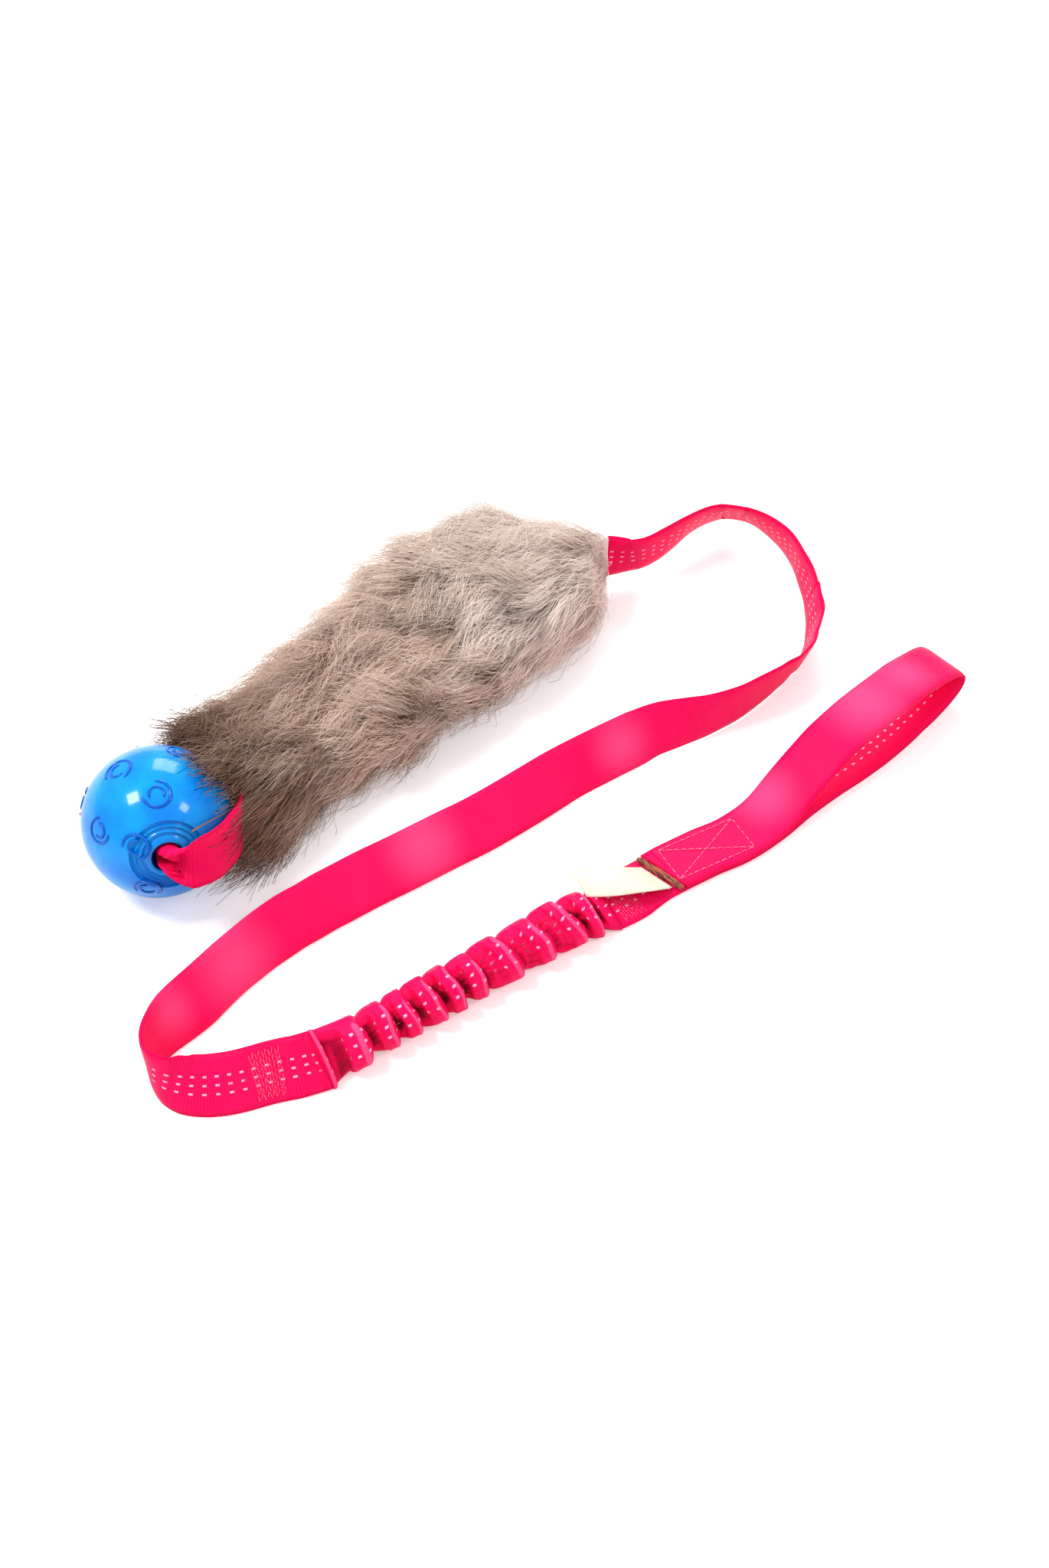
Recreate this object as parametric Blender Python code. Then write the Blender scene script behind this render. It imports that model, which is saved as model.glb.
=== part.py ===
# Bungee tug toy, laid out on the floor as it lies when it is put down.
# One tape of tubular webbing runs from the grip through a gathered bungee to a sleeve of long fur,
# and a hollow rubber ball is threaded on the webbing loop that comes out of the sleeve's mouth.
# Metres, +Z up. The origin is on the floor under the middle of the toy, without its loose lead.

import math

import bmesh
import bpy
from mathutils import Matrix, Vector

# Webbing
WEBBING_WIDTH = 0.0250
WEBBING_THICKNESS = 0.0018
FLOOR_CLEARANCE = 0.00015
SEAT_GAP = 0.0003
THREAD_RADIUS = 0.00028
EDGE_RISE = 0.0062

# Lead
LEAD_NECK_GAP = 0.00085
LEAD_BUNGEE_GAP = 0.0004

# Fur sleeve
NECK_X = 0.1005
NECK_Y = 0.0648
NECK_TURN = -16.0
FUR_LENGTH = 0.2170
FUR_TURN = 185.3
FUR_WIDTH = 0.0800
FUR_HEIGHT = 0.0400
FUR_INSET = 0.0030
FUR_SIDES = 16
HIDE_WIDTH = 0.0380
HIDE_HEIGHT = 0.0262
HIDE_WALL = 0.0012
CORE_NECK_GAP = 0.00035
CORE_MOUTH_GAP = 0.00030

# Ball
BALL_RADIUS = 0.03175
BALL_WALL = 0.0034
BALL_BORE_RADIUS = 0.0068
BALL_RING_RADIUS = 0.0155
BALL_RING_DEPTH = 0.0012
BALL_STEP_COUNT = 3
BALL_BORE_TURN = -109.0
BALL_BORE_RISE = 18.0
BALL_SIDES = 32

# Squeaker in the wall of the ball
SQUEAKER_RADIUS = 0.0052
SQUEAKER_LENGTH = 0.0095
SQUEAKER_WALL = 0.0011
SQUEAKER_LIP = 0.0009
SQUEAKER_SINK = 0.0008
SQUEAKER_HOLE_RADIUS = 0.0012
REED_THICKNESS = 0.0007
REED_DEPTH = 0.0035
PORT_TURN = -34.0
PORT_RISE = 36.0

# Webbing loop that carries the ball
LOOP_SLACK = 0.01075
LOOP_TURN = 198.5
LOOP_STANDOFF = 0.0016
LOOP_BEND_RADIUS = 0.0040
LOOP_CURL_RADIUS = 0.0048
LOOP_MOUTH_GAP = 0.00062
LOOP_STUB = 0.0040

# Gathered bungee
BUNGEE_START_X = -0.1580
BUNGEE_LENGTH = 0.1400
BUNGEE_Y = -0.0962
BUNGEE_RADIUS = 0.0104
BUNGEE_RISE = 0.0100
BUNGEE_GROOVE_DEPTH = 0.0034
BUNGEE_START_PITCH = 47.0
BUNGEE_END_PITCH = 17.0
BUNGEE_SIDES = 18
ELASTIC_RADIUS = 0.0024
ELASTIC_COVER_WALL = 0.0007
ELASTIC_INSET = 0.0170
STRETCH_GAP = 0.0004

# Tail of webbing between the bungee and the grip
TAIL_LENGTH = 0.0284
TAIL_WIDTH = 0.0218

# Grip
GRIP_LENGTH = 0.1781
GRIP_HEIGHT = 0.0280
GRIP_SWEEP = 0.0200
CUT_SLANT = 13.5
BOX_STITCH_START = 0.0070
BOX_STITCH_LENGTH = 0.0370
BOX_STITCH_INSET = 0.0035
STITCH_LENGTH = 0.0023
STITCH_GAP = 0.0008
SCORCH_LENGTH = 0.0036
SCORCH_THICKNESS = 0.0022

# Label
LABEL_LENGTH = 0.0295
LABEL_WIDTH = 0.0168
LABEL_THICKNESS = 0.0004
LABEL_GAP = 0.0008
LABEL_RISE = 0.0090
LABEL_SWING = 0.0188

# Bar tacks
TACK_LENGTH = 0.0100
TACK_ROWS = 9
LEAD_TACK_FROM_END = 0.0180
TAIL_TACK_FROM_END = 0.0030
SEW_ROWS = 4
SEW_DISTANCE = 0.0140

# Stations along the lower edge of the lead from the fur to the bungee: x, y, height, and the
# lean of the tape in degrees from upright towards the right-hand side of its run.
LEAD_ROUTE = (
    (0.1120, 0.0615, 0.0060, 12.0),
    (0.1185, 0.0585, 0.0070, 13.0),
    (0.1275, 0.0579, 0.0080, 12.0),
    (0.1375, 0.0595, 0.0090, 15.5),
    (0.1485, 0.0621, 0.0100, 23.0),
    (0.1585, 0.0625, 0.0105, 29.0),
    (0.1665, 0.0605, 0.0110, 34.0),
    (0.1715, 0.0555, 0.0120, 34.0),
    (0.1765, 0.0495, 0.0110, 33.0),
    (0.1781, 0.0405, 0.0105, 27.0),
    (0.1775, 0.0275, 0.0100, 17.0),
    (0.1745, 0.0155, 0.0090, 7.0),
    (0.1695, 0.0041, 0.0073, 0.0),
    (0.1665, -0.0025, 0.0057, -4.0),
    (0.1635, -0.0075, 0.0040, -8.0),
    (0.1595, -0.0131, 0.0031, -10.0),
    (0.1550, -0.0181, 0.0023, -15.0),
    (0.1502, -0.0229, 0.0015, -16.0),
    (0.1425, -0.0285, 0.0006, -17.0),
    (0.1375, -0.0315, 0.0006, -19.0),
    (0.1325, -0.0325, 0.0006, -21.0),
    (0.1270, -0.0345, 0.0006, -20.0),
    (0.1210, -0.0362, 0.0006, -16.0),
    (0.1155, -0.0375, 0.0006, -14.0),
    (0.1045, -0.0395, 0.0006, -9.0),
    (0.0955, -0.0405, 0.0006, -6.0),
    (0.0865, -0.0405, 0.0006, -2.0),
    (0.0785, -0.0402, 0.0006, 3.0),
    (0.0705, -0.0392, 0.0006, 10.0),
    (0.0625, -0.0382, 0.0006, 18.0),
    (0.0545, -0.0372, 0.0006, 25.0),
    (0.0455, -0.0377, 0.0006, 35.0),
    (0.0295, -0.0373, 0.0006, 38.0),
    (0.0125, -0.0371, 0.0006, 40.0),
    (-0.0045, -0.0385, 0.0006, 51.0),
    (-0.0225, -0.0396, 0.0006, 54.0),
    (-0.0385, -0.0400, 0.0006, 53.5),
    (-0.0535, -0.0394, 0.0006, 53.0),
    (-0.0765, -0.0388, 0.0006, 53.0),
    (-0.0915, -0.0381, 0.0006, 52.5),
    (-0.1065, -0.0380, 0.0006, 51.0),
    (-0.1145, -0.0379, 0.0006, 47.0),
    (-0.1215, -0.0382, 0.0006, 44.0),
    (-0.1295, -0.0384, 0.0006, 44.5),
    (-0.1375, -0.0393, 0.0006, 44.0),
    (-0.1455, -0.0403, 0.0006, 40.0),
    (-0.1535, -0.0419, 0.0006, 38.0),
    (-0.1615, -0.0437, 0.0006, 37.0),
    (-0.1705, -0.0465, 0.0006, 38.0),
    (-0.1805, -0.0500, 0.0006, 42.0),
    (-0.1885, -0.0517, 0.0006, 39.0),
    (-0.1955, -0.0527, 0.0006, 32.0),
    (-0.2015, -0.0538, 0.0006, 23.0),
    (-0.2085, -0.0560, 0.0006, 13.0),
    (-0.2135, -0.0595, 0.0006, 5.0),
    (-0.2159, -0.0645, 0.0006, -3.0),
    (-0.2163, -0.0712, 0.0006, -15.0),
    (-0.2153, -0.0755, 0.0006, -26.0),
    (-0.2131, -0.0801, 0.0006, -34.0),
    (-0.2095, -0.0842, 0.0006, -39.0),
    (-0.2045, -0.0882, 0.0006, -43.0),
    (-0.1981, -0.0917, 0.0006, -44.0),
    (-0.1921, -0.0941, 0.0006, -43.0),
    (-0.1861, -0.0959, 0.0006, -42.0),
    (-0.1800, -0.0977, 0.0006, -43.0),
    (-0.1745, -0.0998, 0.0006, -46.0),
    (-0.1692, -0.1018, 0.0006, -44.5),
)

# Fur from neck to mouth: share of its length, shares of full width and height of the pile, how
# far the hide is opened, and how far the middle lies off the straight line as a share of width.
FUR_SHARES = (
    (0.000, 0.22, 0.86, 0.00, 0.000),
    (0.015, 0.28, 0.87, 0.03, 0.012),
    (0.035, 0.40, 0.89, 0.15, 0.044),
    (0.070, 0.64, 0.92, 0.45, 0.105),
    (0.112, 0.82, 0.96, 0.75, 0.138),
    (0.160, 0.91, 0.99, 0.92, 0.150),
    (0.220, 0.97, 1.00, 1.00, 0.150),
    (0.297, 1.00, 0.98, 1.00, 0.140),
    (0.420, 0.97, 1.00, 1.00, 0.128),
    (0.500, 0.92, 0.97, 1.00, 0.118),
    (0.570, 0.88, 0.98, 1.00, 0.110),
    (0.700, 0.85, 0.96, 1.00, 0.088),
    (0.830, 0.79, 0.98, 0.90, 0.064),
    (0.890, 0.80, 0.98, 0.68, 0.048),
    (0.935, 0.81, 0.97, 0.42, 0.030),
    (0.970, 0.80, 0.93, 0.15, 0.012),
    (0.990, 0.74, 0.89, 0.04, 0.003),
    (1.000, 0.68, 0.84, 0.00, 0.000),
)

# Pleats of the bungee, as shares: where the groove after each one lies along the bungee, how
# much of the full radius its crest reaches, and its slant as a share of the radius.
PLEAT_SHARES = (
    (0.122, 1.00, 0.00),
    (0.222, 0.98, 0.08),
    (0.281, 0.97, 0.10),
    (0.368, 1.00, 0.16),
    (0.439, 1.00, 0.14),
    (0.503, 0.96, 0.10),
    (0.617, 1.03, 0.25),
    (0.732, 1.00, 0.26),
    (0.847, 1.05, 0.34),
    (0.922, 1.03, 0.10),
    (1.000, 0.70, 0.00),
)
PHASE_SHARES = (0.0, 0.07, 0.20, 0.36, 0.54, 0.72, 0.88)

# Middle line of the grip in side view, as shares of its length and height: out round the end of
# the loop and back over the top, and how far it sweeps sideways as a share of the full sweep.
GRIP_LOOP_SHARES = (
    (0.870, 0.055),
    (0.925, 0.100),
    (0.965, 0.190),
    (0.990, 0.340),
    (0.988, 0.500),
    (0.958, 0.635),
    (0.905, 0.760),
    (0.840, 0.885),
    (0.770, 0.965),
    (0.695, 1.000),
    (0.620, 0.960),
    (0.545, 0.810),
    (0.485, 0.610),
    (0.430, 0.420),
    (0.385, 0.270),
    (0.345, 0.170),
)
GRIP_FLOOR_SHARES = (0.00, 0.08, 0.16, 0.24, 0.32, 0.40, 0.48, 0.56, 0.64, 0.72, 0.80)
GRIP_PAD_SHARES = (0.300, 0.250, 0.190, 0.130, 0.070)
GRIP_SWEEP_SHARES = (
    (-0.17, 0.12),
    (0.00, 0.16),
    (0.14, 0.09),
    (0.22, 0.00),
    (0.32, 0.06),
    (0.42, 0.22),
    (0.52, 0.32),
    (0.62, 0.38),
    (0.72, 0.50),
    (0.82, 0.70),
    (1.00, 1.02),
)

# Shares that shape single pieces
HIDE_CORNER_SHARE = 0.75
SLOT_CORNER_SHARE = 0.22
PILE_CORNER_SHARE = 0.80
SEAM_END_SHARE = 0.10
SEAM_DEPTH_SHARE = 0.98
TACK_WIDTH_SHARE = 0.80
STEP_SHARES = (0.20, 0.68, 0.90)
STEP_RISE_SHARE = 0.50
STUB_SPREAD_SHARE = 0.80
CURL_SHARES = (0.30, 0.48, 0.68, 0.86, 0.97, 1.00)
CURL_RUN = 0.60
LEAVE_SHARE = 0.92
CHANNEL_SHARES = (0.6, 0.0, -0.6)
STUB_STATIONS = 7
CURL_START = 0.0005
UNEVEN_SHARES = ((0.05, 2, 1.7), (0.03, 3, 2.9))
GROOVE_UNEVEN_SHARE = 0.40
GROOVE_SHIFT = 2.3
SWELL_SHARE = 0.50
SKEW_SHARE = 1.45
SLIT_WIDTH_SHARE = 0.78
SLIT_HEIGHT_SHARE = 0.80
INNER_STEP_SHARE = 0.03
LABEL_TURN = 24.0
LABEL_LIFT_SHARE = 1.5
LEAD_FACE = 1.0
GRIP_FACE = 1.0


def material(name, colour, roughness, metallic=0.0, transmission=0.0):
    """One finish as a Principled BSDF."""
    finish = bpy.data.materials.new(name)
    finish.use_nodes = True
    shader = finish.node_tree.nodes["Principled BSDF"]
    shader.inputs["Base Color"].default_value = (*colour, 1.0)
    shader.inputs["Roughness"].default_value = roughness
    shader.inputs["Metallic"].default_value = metallic
    shader.inputs["Transmission Weight"].default_value = transmission
    return finish


def place(name, mesh, finish, parent, smooth=True):
    """Links a mesh in world coordinates as a named object under the empty of its body."""
    thing = bpy.data.objects.new(name, mesh)
    bpy.context.scene.collection.objects.link(thing)
    mesh.materials.append(finish)
    if smooth:
        mesh.shade_smooth()
        mesh.set_sharp_from_angle(angle=math.radians(40.0))
    thing.parent = parent
    thing.matrix_parent_inverse = parent.matrix_world.inverted()
    return thing


def pivot(name, location, axis, parent=None):
    """An empty on a joint: its origin on the axis, its local Z along it."""
    empty = bpy.data.objects.new(name, None)
    bpy.context.scene.collection.objects.link(empty)
    turn = axis.to_track_quat("Z", "Y").to_matrix().to_4x4()
    world = Matrix.Translation(location) @ turn
    if parent:
        empty.parent = parent
        empty.matrix_parent_inverse = parent.matrix_world.inverted()
    empty.matrix_basis = world
    bpy.context.view_layer.update()
    return empty


def smooth_rows(rows, steps):
    """Catmull-Rom through rows of numbers, with the given steps in each span."""
    out = []
    for i in range(len(rows) - 1):
        before = rows[max(i - 1, 0)]
        after = rows[min(i + 2, len(rows) - 1)]
        for k in range(steps):
            t = k / steps
            out.append(tuple(
                0.5 * (2 * b + (c - a) * t + (2 * a - 5 * b + 4 * c - d) * t * t
                       + (3 * b - a - 3 * c + d) * t ** 3)
                for a, b, c, d in zip(before, rows[i], rows[i + 1], after)))
    out.append(tuple(rows[-1]))
    return out


def share_at(table, share, column=1):
    """Reads a table of shares at a place along it, along a smooth curve."""
    last = len(table) - 1
    i = 0
    while i < last - 1 and table[i + 1][0] < share:
        i += 1
    a, b, c, d = (table[min(max(k, 0), last)] for k in (i - 1, i, i + 1, i + 2))
    t = min(max((share - b[0]) / (c[0] - b[0]), 0.0), 1.0)
    p, q, r, s = (row[column] for row in (a, b, c, d))
    return 0.5 * (2 * q + (r - p) * t + (2 * p - 5 * q + 4 * r - s) * t * t
                  + (3 * q - p - 3 * r + s) * t ** 3)


def loft(rings, closed=False):
    """Skins rings of equal count into one closed body, and caps the ends or joins them."""
    bm = bmesh.new()
    loops = [[bm.verts.new(point) for point in ring] for ring in rings]
    count = len(loops[0])
    pairs = list(zip(loops, loops[1:]))
    if closed:
        pairs.append((loops[-1], loops[0]))
    for one, other in pairs:
        for k in range(count):
            n = (k + 1) % count
            bm.faces.new((one[k], one[n], other[n], other[k]))
    if not closed:
        bm.faces.new(loops[0][::-1])
        bm.faces.new(loops[-1])
    bmesh.ops.recalc_face_normals(bm, faces=bm.faces)
    mesh = bpy.data.meshes.new("body")
    bm.to_mesh(mesh)
    bm.free()
    return mesh


def lathe(profile, sides):
    """Spins a closed profile of (radius, height) pairs about Z."""
    bm = bmesh.new()
    verts = [bm.verts.new((radius, 0.0, height)) for radius, height in profile]
    edges = [bm.edges.new((a, b)) for a, b in zip(verts, verts[1:] + verts[:1])]
    bmesh.ops.spin(bm, geom=verts + edges, cent=(0, 0, 0), axis=(0, 0, 1),
                   angle=math.tau, steps=sides, use_merge=True)
    bmesh.ops.remove_doubles(bm, verts=bm.verts, dist=SEAT_GAP / 30)
    bmesh.ops.recalc_face_normals(bm, faces=bm.faces)
    mesh = bpy.data.meshes.new("turned")
    bm.to_mesh(mesh)
    bm.free()
    return mesh


def tape_ring(centre, across, through):
    """One cross-section of flat tape with soft edges: half-width and half-thickness vectors."""
    outline_shares = ((-0.93, -1.0), (0.93, -1.0), (1.0, -0.45), (1.0, 0.45),
                      (0.93, 1.0), (-0.93, 1.0), (-1.0, 0.45), (-1.0, -0.45))
    return [centre + across * u + through * v for u, v in outline_shares]


def tape(rows):
    """A run of tape from rows of centre, half-width vector and half-thickness."""
    rings = []
    for i, (centre, across, half) in enumerate(rows):
        ahead = rows[min(i + 1, len(rows) - 1)][0] - rows[max(i - 1, 0)][0]
        through = ahead.cross(across).normalized() * half
        rings.append(tape_ring(centre, across, through))
    return loft(rings)


def thread_line(name, run, finish, parent):
    """A line of sewing as one thread through a run of points, with closed ends."""
    curve = bpy.data.curves.new(name, "CURVE")
    curve.dimensions = "3D"
    curve.bevel_depth = THREAD_RADIUS
    curve.bevel_resolution = 0
    curve.use_fill_caps = True
    spline = curve.splines.new("POLY")
    spline.points.add(len(run) - 1)
    for point, place_at in zip(spline.points, run):
        point.co = (*place_at, 1.0)
    curve.materials.append(finish)
    thing = bpy.data.objects.new(name, curve)
    bpy.context.scene.collection.objects.link(thing)
    thing.parent = parent
    thing.matrix_parent_inverse = parent.matrix_world.inverted()
    return thing


def along_rows(rows, distance, side_share, lift):
    """A place on a run of tape: distance along it, share of its half-width, height off its face."""
    left = distance
    for i in range(len(rows) - 1):
        step = rows[i + 1][0] - rows[i][0]
        if left <= step.length or i == len(rows) - 2:
            t = left / step.length
            across = rows[i][1].lerp(rows[i + 1][1], t)
            half = rows[i][2]
            normal = step.cross(across).normalized()
            side = 1.0 if lift > 0 else -1.0
            return rows[i][0] + step * t + across * side_share + normal * (side * half + lift)
        left -= step.length
    return rows[-1][0]


def lean_vector(heading, lean):
    """The way across a tape that stands on its edge, leaning to the right of its heading."""
    right = Vector((heading.y, -heading.x, 0.0)).normalized()
    return Vector((0, 0, math.cos(lean))) + right * math.sin(lean)


def level(turn):
    """A level direction at a turn in degrees from X."""
    return Vector((math.cos(math.radians(turn)), math.sin(math.radians(turn)), 0.0))


def neck():
    """Where the lead goes into the fur, on the axis that the fur swings about."""
    return Vector((NECK_X, NECK_Y, EDGE_RISE + WEBBING_WIDTH / 2))


def mouth():
    """Where the loop comes out of the fur, on the axis that the ball swings about."""
    return neck() + level(FUR_TURN) * FUR_LENGTH


def ball_centre():
    """Middle of the ball as it lies on the floor."""
    middle = mouth() + level(LOOP_TURN) * (BALL_RADIUS + LOOP_SLACK)
    middle.z = BALL_RADIUS
    return middle


def bore_way():
    """The way out of the ball's front bore."""
    rise = math.radians(BALL_BORE_RISE)
    return level(BALL_BORE_TURN) * math.cos(rise) + Vector((0, 0, math.sin(rise)))


def port_way():
    """The way out of the ball's wall at the squeaker."""
    rise = math.radians(PORT_RISE)
    return level(PORT_TURN) * math.cos(rise) + Vector((0, 0, math.sin(rise)))


def bungee_axes(share):
    """The ways across and through the gathered tape, which turns flatter along its length."""
    pitch = math.radians(BUNGEE_START_PITCH + (BUNGEE_END_PITCH - BUNGEE_START_PITCH) * share)
    return (Vector((0, math.cos(pitch), math.sin(pitch))),
            Vector((0, -math.sin(pitch), math.cos(pitch))))


def end_height(share, width):
    """Height of the middle of a leaning flat tape whose lower edge lies on the floor."""
    across, through = bungee_axes(share)
    return (across.z * width + through.z * WEBBING_THICKNESS) / 2 + FLOOR_CLEARANCE


def lead_rows():
    """The loose lead: the tape stands on its lower edge along the route."""
    half = WEBBING_WIDTH / 2
    heading = level(NECK_TURN)
    start = neck() + heading * LEAD_NECK_GAP - Vector((0, 0, half))
    across = bungee_axes(0.0)[0]
    end = Vector((BUNGEE_START_X - LEAD_BUNGEE_GAP, BUNGEE_Y, end_height(0.0, WEBBING_WIDTH)))
    end -= across * half
    pitch_lean = BUNGEE_START_PITCH - 90.0
    fine = smooth_rows([(*start, 0.0), *LEAD_ROUTE, (*end, pitch_lean)], 1)
    rows = []
    for i, (x, y, z, lean) in enumerate(fine):
        ahead = Vector(fine[min(i + 1, len(fine) - 1)][:3]) - Vector(fine[max(i - 1, 0)][:3])
        if i == 0:
            ahead = heading
        if i == len(fine) - 1:
            ahead = Vector((1, 0, 0))
        ahead.normalize()
        up = lean_vector(ahead, math.radians(lean))
        way = (up - ahead * up.dot(ahead)).normalized() * half
        rows.append((Vector((x, y, z)) + way, way, WEBBING_THICKNESS / 2))
    return rows


def fur_line(share):
    """Middle of the webbing inside the fur at a share of the way from neck to mouth."""
    heading = level(FUR_TURN)
    side = Vector((heading.y, -heading.x, 0.0))
    off = share_at(FUR_SHARES, share, 4) * FUR_WIDTH
    return neck() + heading * FUR_LENGTH * share + side * off, side


def hide_section(share):
    """Half-width and half-height of the hollow in the hide: a slot at each end."""
    full = share_at(FUR_SHARES, share, 3)
    slot_wide = WEBBING_THICKNESS + SEAT_GAP * 2
    slot_high = WEBBING_WIDTH + SEAT_GAP * 2
    high_end = max(HIDE_HEIGHT, slot_high)
    wide = slot_wide + (HIDE_WIDTH - slot_wide) * full
    high = slot_high + (high_end - slot_high) * full
    return wide / 2, high / 2


def oval(centre, side, up, half_width, half_height, count, squareness=1.0):
    """A ring of points: an oval, or squarer where the squareness is under one."""
    points = []
    for k in range(count):
        angle = math.tau * (k + 0.5) / count
        c, s = math.cos(angle), math.sin(angle)
        u = math.copysign(abs(c) ** squareness, c) * half_width
        v = math.copysign(abs(s) ** squareness, s) * half_height
        points.append(centre + side * u + up * v)
    return points


def fur_stations():
    """Shares along the fur at which its sections are made."""
    return [row[0] for row in FUR_SHARES]


def hide_rings(extra):
    """Sections of the hide's hollow, squarer towards the slots, grown by an extra on every side."""
    rings = []
    inset_share = FUR_INSET / FUR_LENGTH
    for share in fur_stations():
        middle, side = fur_line(inset_share + (1 - 2 * inset_share) * share)
        wide, high = hide_section(share)
        full = min(max(share_at(FUR_SHARES, share, 3), 0.0), 1.0)
        squareness = SLOT_CORNER_SHARE + (HIDE_CORNER_SHARE - SLOT_CORNER_SHARE) * full
        rings.append(oval(middle, side, Vector((0, 0, 1)), wide + extra, high + extra, FUR_SIDES,
                          squareness))
    return rings


def fur_hide():
    """The skin: a tube that closes to a slot round the webbing at neck and mouth."""
    inner = hide_rings(0.0)
    outer = hide_rings(HIDE_WALL)
    return loft(outer + inner[::-1], closed=True)


def pile_rings():
    """Outer sections of the coat, from neck to mouth."""
    rings = []
    inset_share = FUR_INSET / FUR_LENGTH
    for share in fur_stations():
        middle, side = fur_line(inset_share + (1 - 2 * inset_share) * share)
        hide_wide, hide_high = hide_section(share)
        cover = HIDE_WALL + SEAT_GAP + HIDE_WALL
        wide = max(share_at(FUR_SHARES, share, 1) * FUR_WIDTH / 2, hide_wide + cover)
        top = max(share_at(FUR_SHARES, share, 2) * FUR_HEIGHT, middle.z + hide_high + cover)
        raised = Vector((middle.x, middle.y, top / 2))
        rings.append(oval(raised, side, Vector((0, 0, 1)), wide, top / 2, FUR_SIDES,
                          PILE_CORNER_SHARE))
    return rings


def fur_pile():
    """The coat as one soft body round the hide: it swells and tapers and lies flat below."""
    return loft(pile_rings() + hide_rings(HIDE_WALL + SEAT_GAP)[::-1], closed=True)


def core_rows():
    """The webbing inside the fur, upright from neck to mouth."""
    half = WEBBING_WIDTH / 2
    inset_share = FUR_INSET / FUR_LENGTH
    shares = [CORE_NECK_GAP / FUR_LENGTH]
    shares += [inset_share + (1 - 2 * inset_share) * share for share in fur_stations()]
    shares.append(1 - CORE_MOUTH_GAP / FUR_LENGTH)
    return [(fur_line(share)[0], Vector((0, 0, half)), WEBBING_THICKNESS / 2)
            for share in shares]


def hide_seam_run():
    """The seam along the inside of the hide's underside: a thread that steps from side to side."""
    run = []
    steps = int(FUR_LENGTH * (1 - SEAM_END_SHARE * 2) / (STITCH_LENGTH * 2))
    for k in range(steps + 1):
        share = SEAM_END_SHARE + (1 - SEAM_END_SHARE * 2) * k / steps
        middle, side = fur_line(share)
        high = hide_section(share)[1]
        aside = WEBBING_THICKNESS + STITCH_LENGTH * (k % 2) / 2
        depth = high * SEAM_DEPTH_SHARE - THREAD_RADIUS - SEAT_GAP
        run.append(middle + side * aside - Vector((0, 0, depth)))
    return run


def tack_run(rows, start, length, count, side, cover_share):
    """One thread to and fro across a tape in close rows, on the face that the sign picks."""
    run = []
    lift = side * (SEAT_GAP / 2 + THREAD_RADIUS * 1.5)
    for k in range(count):
        at = start + length * k / (count - 1)
        ends = (-cover_share, cover_share) if k % 2 else (cover_share, -cover_share)
        run += [along_rows(rows, at, part, lift) for part in ends]
    return run


def run_length(rows):
    """Length of a run of tape along its middle."""
    return sum((b[0] - a[0]).length for a, b in zip(rows, rows[1:]))


def cylinder(radius, low, high):
    """A plain round body along Z between two heights."""
    rings = []
    for height in (low, high):
        middle = Vector((0, 0, height))
        rings.append(oval(middle, Vector((1, 0, 0)), Vector((0, 1, 0)), radius, radius, 24))
    return loft(rings)


def ball_profile():
    """Section of the rubber wall: a bore at each end in a stepped round recess."""
    inner = BALL_RADIUS - BALL_WALL
    lip = BALL_BORE_RADIUS
    ring = BALL_RING_RADIUS
    step = (ring - lip) / (BALL_STEP_COUNT + 1)

    def shell(radius):
        return math.sqrt(BALL_RADIUS ** 2 - radius ** 2)

    end = [(ring, shell(ring))]
    for k in range(BALL_STEP_COUNT):
        radius = ring - step * k
        sunk = shell(radius) - BALL_RING_DEPTH
        end.append((radius - step * STEP_SHARES[0], sunk))
        end.append((radius - step * STEP_SHARES[1], sunk))
        end.append((radius - step * STEP_SHARES[2], sunk + BALL_RING_DEPTH * STEP_RISE_SHARE))
    rim = shell(lip) - BALL_RING_DEPTH * STEP_RISE_SHARE
    end.append((lip + step * STEP_SHARES[0], rim))
    end.append((lip, rim - BALL_RING_DEPTH * STEP_RISE_SHARE))
    low = math.asin(ring / BALL_RADIUS)
    profile = end[::-1]
    arc_steps = 10
    for k in range(1, arc_steps):
        angle = low + (math.pi - 2 * low) * k / arc_steps
        profile.append((BALL_RADIUS * math.sin(angle), BALL_RADIUS * math.cos(angle)))
    profile += [(radius, -height) for radius, height in end]
    inner_low = math.asin(lip / inner)
    for k in range(arc_steps + 1):
        angle = math.pi - inner_low - (math.pi - 2 * inner_low) * k / arc_steps
        profile.append((inner * math.sin(angle), inner * math.cos(angle)))
    return profile


def squeaker_profile():
    """The squeaker's cup: open inwards, with a sound hole and a lip behind the wall."""
    outer = SQUEAKER_RADIUS
    top = BALL_RADIUS - SQUEAKER_SINK
    bottom = top - SQUEAKER_LENGTH
    bore = outer - SQUEAKER_WALL
    wide = outer + SQUEAKER_LIP
    seat = math.sqrt((BALL_RADIUS - BALL_WALL) ** 2 - wide ** 2) - SEAT_GAP * 2
    edge = SQUEAKER_WALL / 2
    return ((SQUEAKER_HOLE_RADIUS, top), (outer - edge, top), (outer, top - edge), (outer, seat),
            (wide, seat), (wide, seat - SQUEAKER_LIP), (outer, seat - SQUEAKER_LIP - edge),
            (outer, bottom), (bore, bottom), (bore, top - SQUEAKER_WALL),
            (SQUEAKER_HOLE_RADIUS, top - SQUEAKER_WALL))


def reed_profile():
    """The squeaker's reed: a disc in the cup with a small slot for the air."""
    top = BALL_RADIUS - SQUEAKER_SINK - REED_DEPTH
    rim = SQUEAKER_RADIUS - SQUEAKER_WALL - SEAT_GAP
    hole = SQUEAKER_HOLE_RADIUS / 2
    return ((hole, top), (rim, top), (rim, top - REED_THICKNESS), (hole, top - REED_THICKNESS))


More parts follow.
